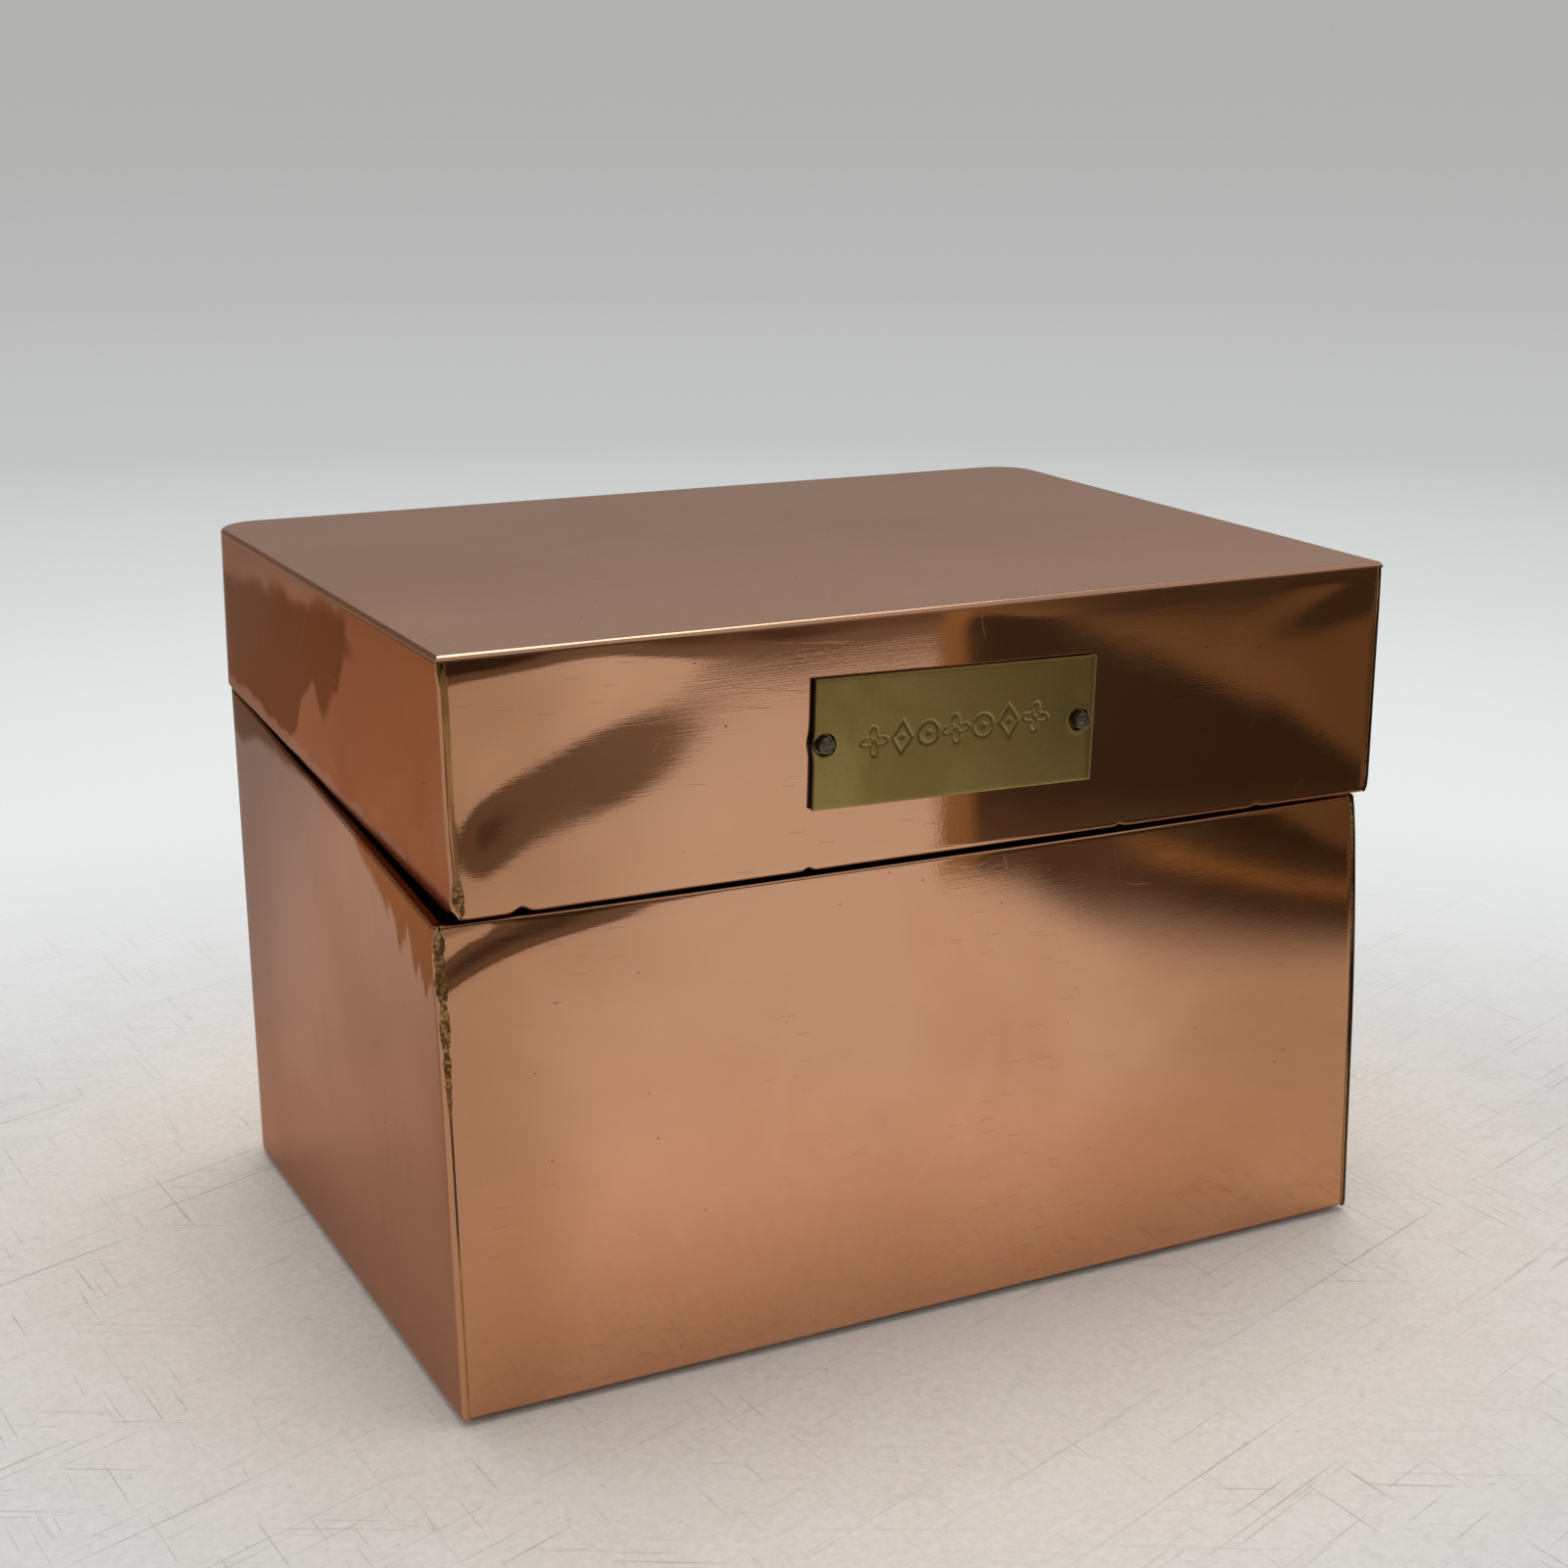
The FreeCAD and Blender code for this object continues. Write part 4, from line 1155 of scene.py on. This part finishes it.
def room_finish():
    """Glowing board seen only in reflections: a painted reflection of a dim room behind the viewer, paler low
    down.
    """
    f = Finish("room_reflection_glow")
    patch = f.noise(7.0, 3.0, 0.5).step(0.42, 0.62)
    high = f.coated((0.13, 0.092, 0.066, 1), (patch, (0.045, 0.033, 0.023, 1)))
    return f.done(f.glow(f.coated((0.17, 0.142, 0.115, 1), (f.axes()[2].step(0.03, 0.055), high))))


def cupboard_finish():
    """Glowing board seen only in reflections: a painted reflection of a dark cupboard with an amber edge and
    plinth, and painted light on its amber front above a slanting shade.
    """
    f = Finish("cupboard_reflection_glow")
    x, _, z = f.axes()
    cloud = f.noise(24.0, 3.0, 0.55)
    amber = f.coated((0.18, 0.132, 0.072, 1), (cloud.step(0.35, 0.65), (0.128, 0.094, 0.052, 1)))
    plinth = z.step(0.0035, 0.0055) * z.step(0.0115, 0.0085) * x.step(0.163, 0.188)
    streak = f.drawn_noise(f.place, (26.0, 26.0, 300.0), 3.0, 0.55, 0.6)
    # Painted shade: above a shelf line, towards the right, most of the painted light on the front is taken
    # away.
    shelf = (z + streak.step(0.3, 0.7, -0.0025, 0.0025)).step(0.0650, 0.0690)
    lit = (z + x * 0.536 + cloud.step(0.3, 0.7, -0.004, 0.004)).step(0.1445, 0.1490)
    lit *= 1.0 - shelf * x.step(0.140, 0.165) * 0.8
    return f.done(f.glow(f.coated((0.090, 0.068, 0.046, 1),
                                  (z.step(0.010, 0.024), (0.043, 0.034, 0.024, 1)),
                                  (plinth, (0.27, 0.185, 0.088, 1)),
                                  (lit, amber),
                                  (x.step(0.1232, 0.1215), (0.25, 0.165, 0.078, 1)))))


def shade_finish():
    """Soft shade on the table in front of the cupboard, clear further out."""
    f = Finish("cupboard_shade")
    start, end = CUPBOARD
    length = math.hypot(end[0] - start[0], end[1] - start[1])
    out_x, out_y = (start[1] - end[1]) / length, (end[0] - start[0]) / length
    x, y, _ = f.axes()
    out = x * out_x + y * out_y - (out_x * start[0] + out_y * start[1])
    thick = out.step(SHADE_REACH, 0.004) * x.step(start[0], start[0] + 0.03) * 0.95
    clear = f.add("BsdfTransparent")
    return f.done(f.add("MixShader", {0: thick, 1: clear, 2: f.glow((0.05, 0.034, 0.022, 1))}))


def stage_mesh(name, points, faces, material):
    mesh = bpy.data.meshes.new(name)
    mesh.from_pydata(points, [], faces)
    mesh.materials.append(material)
    piece = bpy.data.objects.new(name, mesh)
    bpy.context.scene.collection.objects.link(piece)
    return piece


def make_floor():
    angles = [2 * math.pi * a / FLOOR_SPOKES for a in range(FLOOR_SPOKES)]
    points = [(0.0, 0.0, 0.0)]
    points += [(r * math.cos(angle), r * math.sin(angle), 0.0) for r in FLOOR_RADII for angle in angles]
    rings = [list(range(1 + r * FLOOR_SPOKES, 1 + (r + 1) * FLOOR_SPOKES)) for r in range(len(FLOOR_RADII))]
    faces = [(0, a, b) for a, b in zip(rings[0], rings[0][1:] + rings[0][:1])]
    for ring, outer in zip(rings, rings[1:]):
        faces += [(a, d, c, b) for a, b, c, d in belt(ring, outer)]
    return stage_mesh("floor", points, faces, floor_finish())


def make_card(name, start, end, height, material, reach=0.0):
    """Board that only reflections see: upright, or lying in front of an upright one where it has a reach."""
    across, along = (start[1] - end[1], end[0] - start[0])
    share = reach / math.hypot(across, along)
    rise = SHADE_RISE if reach else 0.0
    points = [(*start, rise), (*end, rise)]
    points += [(x + across * share, y + along * share, height) for x, y in (end, start)]
    card = stage_mesh(name, points, [(0, 1, 2, 3)], material)
    for ray in ("camera", "diffuse", "shadow", "transmission"):
        setattr(card, "visible_" + ray, False)
    return card


def make_world():
    """Backdrop that darkens upwards for the camera and reflections, and plain light for the rest."""
    world = bpy.data.worlds.new("backdrop")
    bpy.context.scene.world = world
    w = Nodes(world)
    z = w.parts(w.add("TexCoord", (), "Generated"))[2]
    rise = w.add("MapRange", {"Value": z, "From Min": -1.0})
    shade = w.ramp(rise, [((height + 1) / 2, colour) for height, colour in BACKDROP])
    rays = w.node("LightPath").outputs
    seen = w.most(*(Signal(w, rays[f"Is {kind} Ray"]) for kind in ("Camera", "Glossy", "Transmission")))
    light = w.add("Background", {"Color": (0.93, 0.96, 1.0, 1), "Strength": WORLD_LIGHT})
    backdrop = w.add("Background", {"Color": shade})
    w.node("OutputWorld", {0: w.add("MixShader", {0: seen, 1: light, 2: backdrop})})


def make_lamp(name, place, aim, side, power, colour):
    """Square lamp that looks at a point."""
    lamp = bpy.data.lights.new(name, "AREA")
    lamp.size, lamp.energy, lamp.color = side, power, colour
    holder = bpy.data.objects.new(name, lamp)
    bpy.context.scene.collection.objects.link(holder)
    holder.location = place
    holder.rotation_euler = (Vector(aim) - Vector(place)).to_track_quat("-Z", "Y").to_euler()


def make_camera():
    s = stage_sizes()
    data = bpy.data.cameras.new("camera")
    data.lens = s.lens
    data.clip_start, data.clip_end = 0.01, 20.0
    camera = bpy.data.objects.new("camera", data)
    bpy.context.scene.collection.objects.link(camera)
    camera.location = s.camera_place
    camera.rotation_euler = (math.pi / 2 - s.camera_fall, 0.0, -s.camera_heading)
    bpy.context.scene.camera = camera


# ---- Operators --------
def body_walls():
    return Walls("body_wrap", FOOT_Z + 4 * MM, RIM_LOW - 8 * MM)


def lid_walls():
    return Walls("lid_wrap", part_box("lid_front")[0].z + 20 * MM, LID_TOP_LOW - 3 * MM)


def foot_plane(_x, _y):
    return FOOT_Z


def lid_top_plane():
    front = (FRONT_Y, FRONT_Y + 6 * MM)
    return plane_through([extreme("lid_top", True, x_range, y_range) for x_range, y_range in
                          (((-1, 0), front), ((0, 1), front), ((-1, 0), (0, 1)))])


def refinish(material, *nodes):
    """Give CAD nodes their finish."""
    for node in nodes:
        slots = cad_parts[node].data.materials
        slots.clear()
        slots.append(material)


class CARDBOX_OT_body_sheets(bpy.types.Operator):
    """Copper sheets of the body: the wrapped walls and the front"""
    bl_idname = "card_box.body_sheets"
    bl_label = "Body sheets"

    def execute(self, context):
        walls, rim = body_walls(), rim_plane("body_wrap", True)
        finish = body_copper()
        wrap_sheet("body_wrap", walls, body_section(), foot_plane, rim, "box", finish)
        front_sheet("body_front", walls, body_section(), foot_plane, rim, "box", finish)
        refinish(finish, "body_bottom")
        return {"FINISHED"}


class CARDBOX_OT_lid_sheets(bpy.types.Operator):
    """Copper sheets of the lid: the wrapped walls, the front and the top"""
    bl_idname = "card_box.lid_sheets"
    bl_label = "Lid sheets"

    def execute(self, context):
        walls, rim, top = lid_walls(), rim_plane("lid_wrap", False), lid_top_plane()

        def under_top(x, y):
            return top(x, y) - SHEET

        finish = lid_copper()
        wrap_sheet("lid_wrap", walls, lid_section(), rim, under_top, "lid", finish)
        front_sheet("lid_front", walls, lid_section(), rim, under_top, "lid", finish)
        top_sheet(walls, under_top, top, top_copper())
        return {"FINISHED"}


class CARDBOX_OT_fittings(bpy.types.Operator):
    """Finish of the solder, hinge, rivets, plate and pins"""
    bl_idname = "card_box.fittings"
    bl_label = "Fittings"

    def execute(self, context):
        c = colours()
        solder = solder_skin()
        refinish(solder, "bottom_seam", "lid_top_seam")
        body, lid = body_walls(), lid_walls()
        for name, side in (("body_left_seam", -1), ("body_right_seam", 1)):
            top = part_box(name)[1].z
            fillet = (FOOT_Z + 2.6 * MM, FOOT_Z + 3 * MM, top - 4.6 * MM, top - 4.2 * MM)
            solder_strip(name, body, side, (FOOT_Z + 0.4 * MM, top), fillet, "box", solder)
        for name, side, fall in (("lid_left_seam", -1, 0.9 * MM), ("lid_right_seam", 1, 0.2 * MM)):
            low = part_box(name)[0].z - fall
            fillet = (low + 5.4 * MM, low + 5.8 * MM, LID_TOP_LOW - 2.2 * MM, LID_TOP_LOW - 1.8 * MM)
            solder_strip(name, lid, side, (low, LID_TOP_LOW + 0.4 * MM), fillet, "lid", solder)
        refinish(metal("hinge_brass", c.hinge_brass, 0.7, 0.28), "hinge_lower_leaf", "hinge_upper_leaf")
        steel = metal("steel", c.steel, 0.35, 0.36, 900.0, 2200.0, 0.00005)
        refinish(steel, "hinge_pin")
        make_plate_pins(steel)
        refinish(metal("rivet_copper", c.copper, 0.7, 0.25), "hinge_lower_rivets", "hinge_upper_rivets")
        make_name_plate(plate_brass())
        make_base_felt(felt_cloth())
        return {"FINISHED"}


class CARDBOX_OT_stage(bpy.types.Operator):
    """Camera, floor, backdrop and lamps"""
    bl_idname = "card_box.stage"
    bl_label = "Stage"

    def execute(self, context):
        make_camera()
        make_world()
        make_floor()
        make_card("front_card", *ROOM_WALL, ROOM_HEIGHT, room_finish())
        make_card("right_card", *CUPBOARD, CUPBOARD_HEIGHT, cupboard_finish())
        make_card("right_shade", *CUPBOARD, SHADE_RISE, shade_finish(), SHADE_REACH)
        make_lamp("top_lamp", (0.1, 0.15, 1.1), (0.0, 0.0, 0.0), 0.75, 5.0, (1.0, 0.98, 0.95))
        context.scene.view_settings.view_transform = "Standard"
        return {"FINISHED"}


class CARDBOX_PT_panel(bpy.types.Panel):
    """Panel that lists the pieces of the box"""
    bl_label = "Card Box"
    bl_idname = "CARDBOX_PT_panel"
    bl_space_type = "VIEW_3D"
    bl_region_type = "UI"
    bl_category = "Card Box"

    def draw(self, context):
        for group in (sizes(), stage_sizes(), colours()):
            for name in group.bl_rna.properties.keys():
                if name not in ("rna_type", "name"):
                    self.layout.prop(group, name)
        for operator in OPERATORS:
            self.layout.operator(operator.bl_idname)


GROUPS = {"card_box_sheet": SheetSizes, "card_box_stage": StageSizes, "card_box_colours": Colours}
OPERATORS = (CARDBOX_OT_stage, CARDBOX_OT_body_sheets, CARDBOX_OT_lid_sheets, CARDBOX_OT_fittings)
CLASSES = (*GROUPS.values(), *OPERATORS, CARDBOX_PT_panel)


def register():
    for cls in CLASSES:
        bpy.utils.register_class(cls)
    for name, group in GROUPS.items():
        setattr(bpy.types.Scene, name, PointerProperty(type=group))


def unregister():
    for name in GROUPS:
        delattr(bpy.types.Scene, name)
    for cls in reversed(CLASSES):
        bpy.utils.unregister_class(cls)


def main():
    register()
    bpy.ops.card_box.stage()
    bpy.ops.card_box.body_sheets()
    bpy.ops.card_box.lid_sheets()
    bpy.ops.card_box.fittings()


if __name__ == "__main__":
    main()
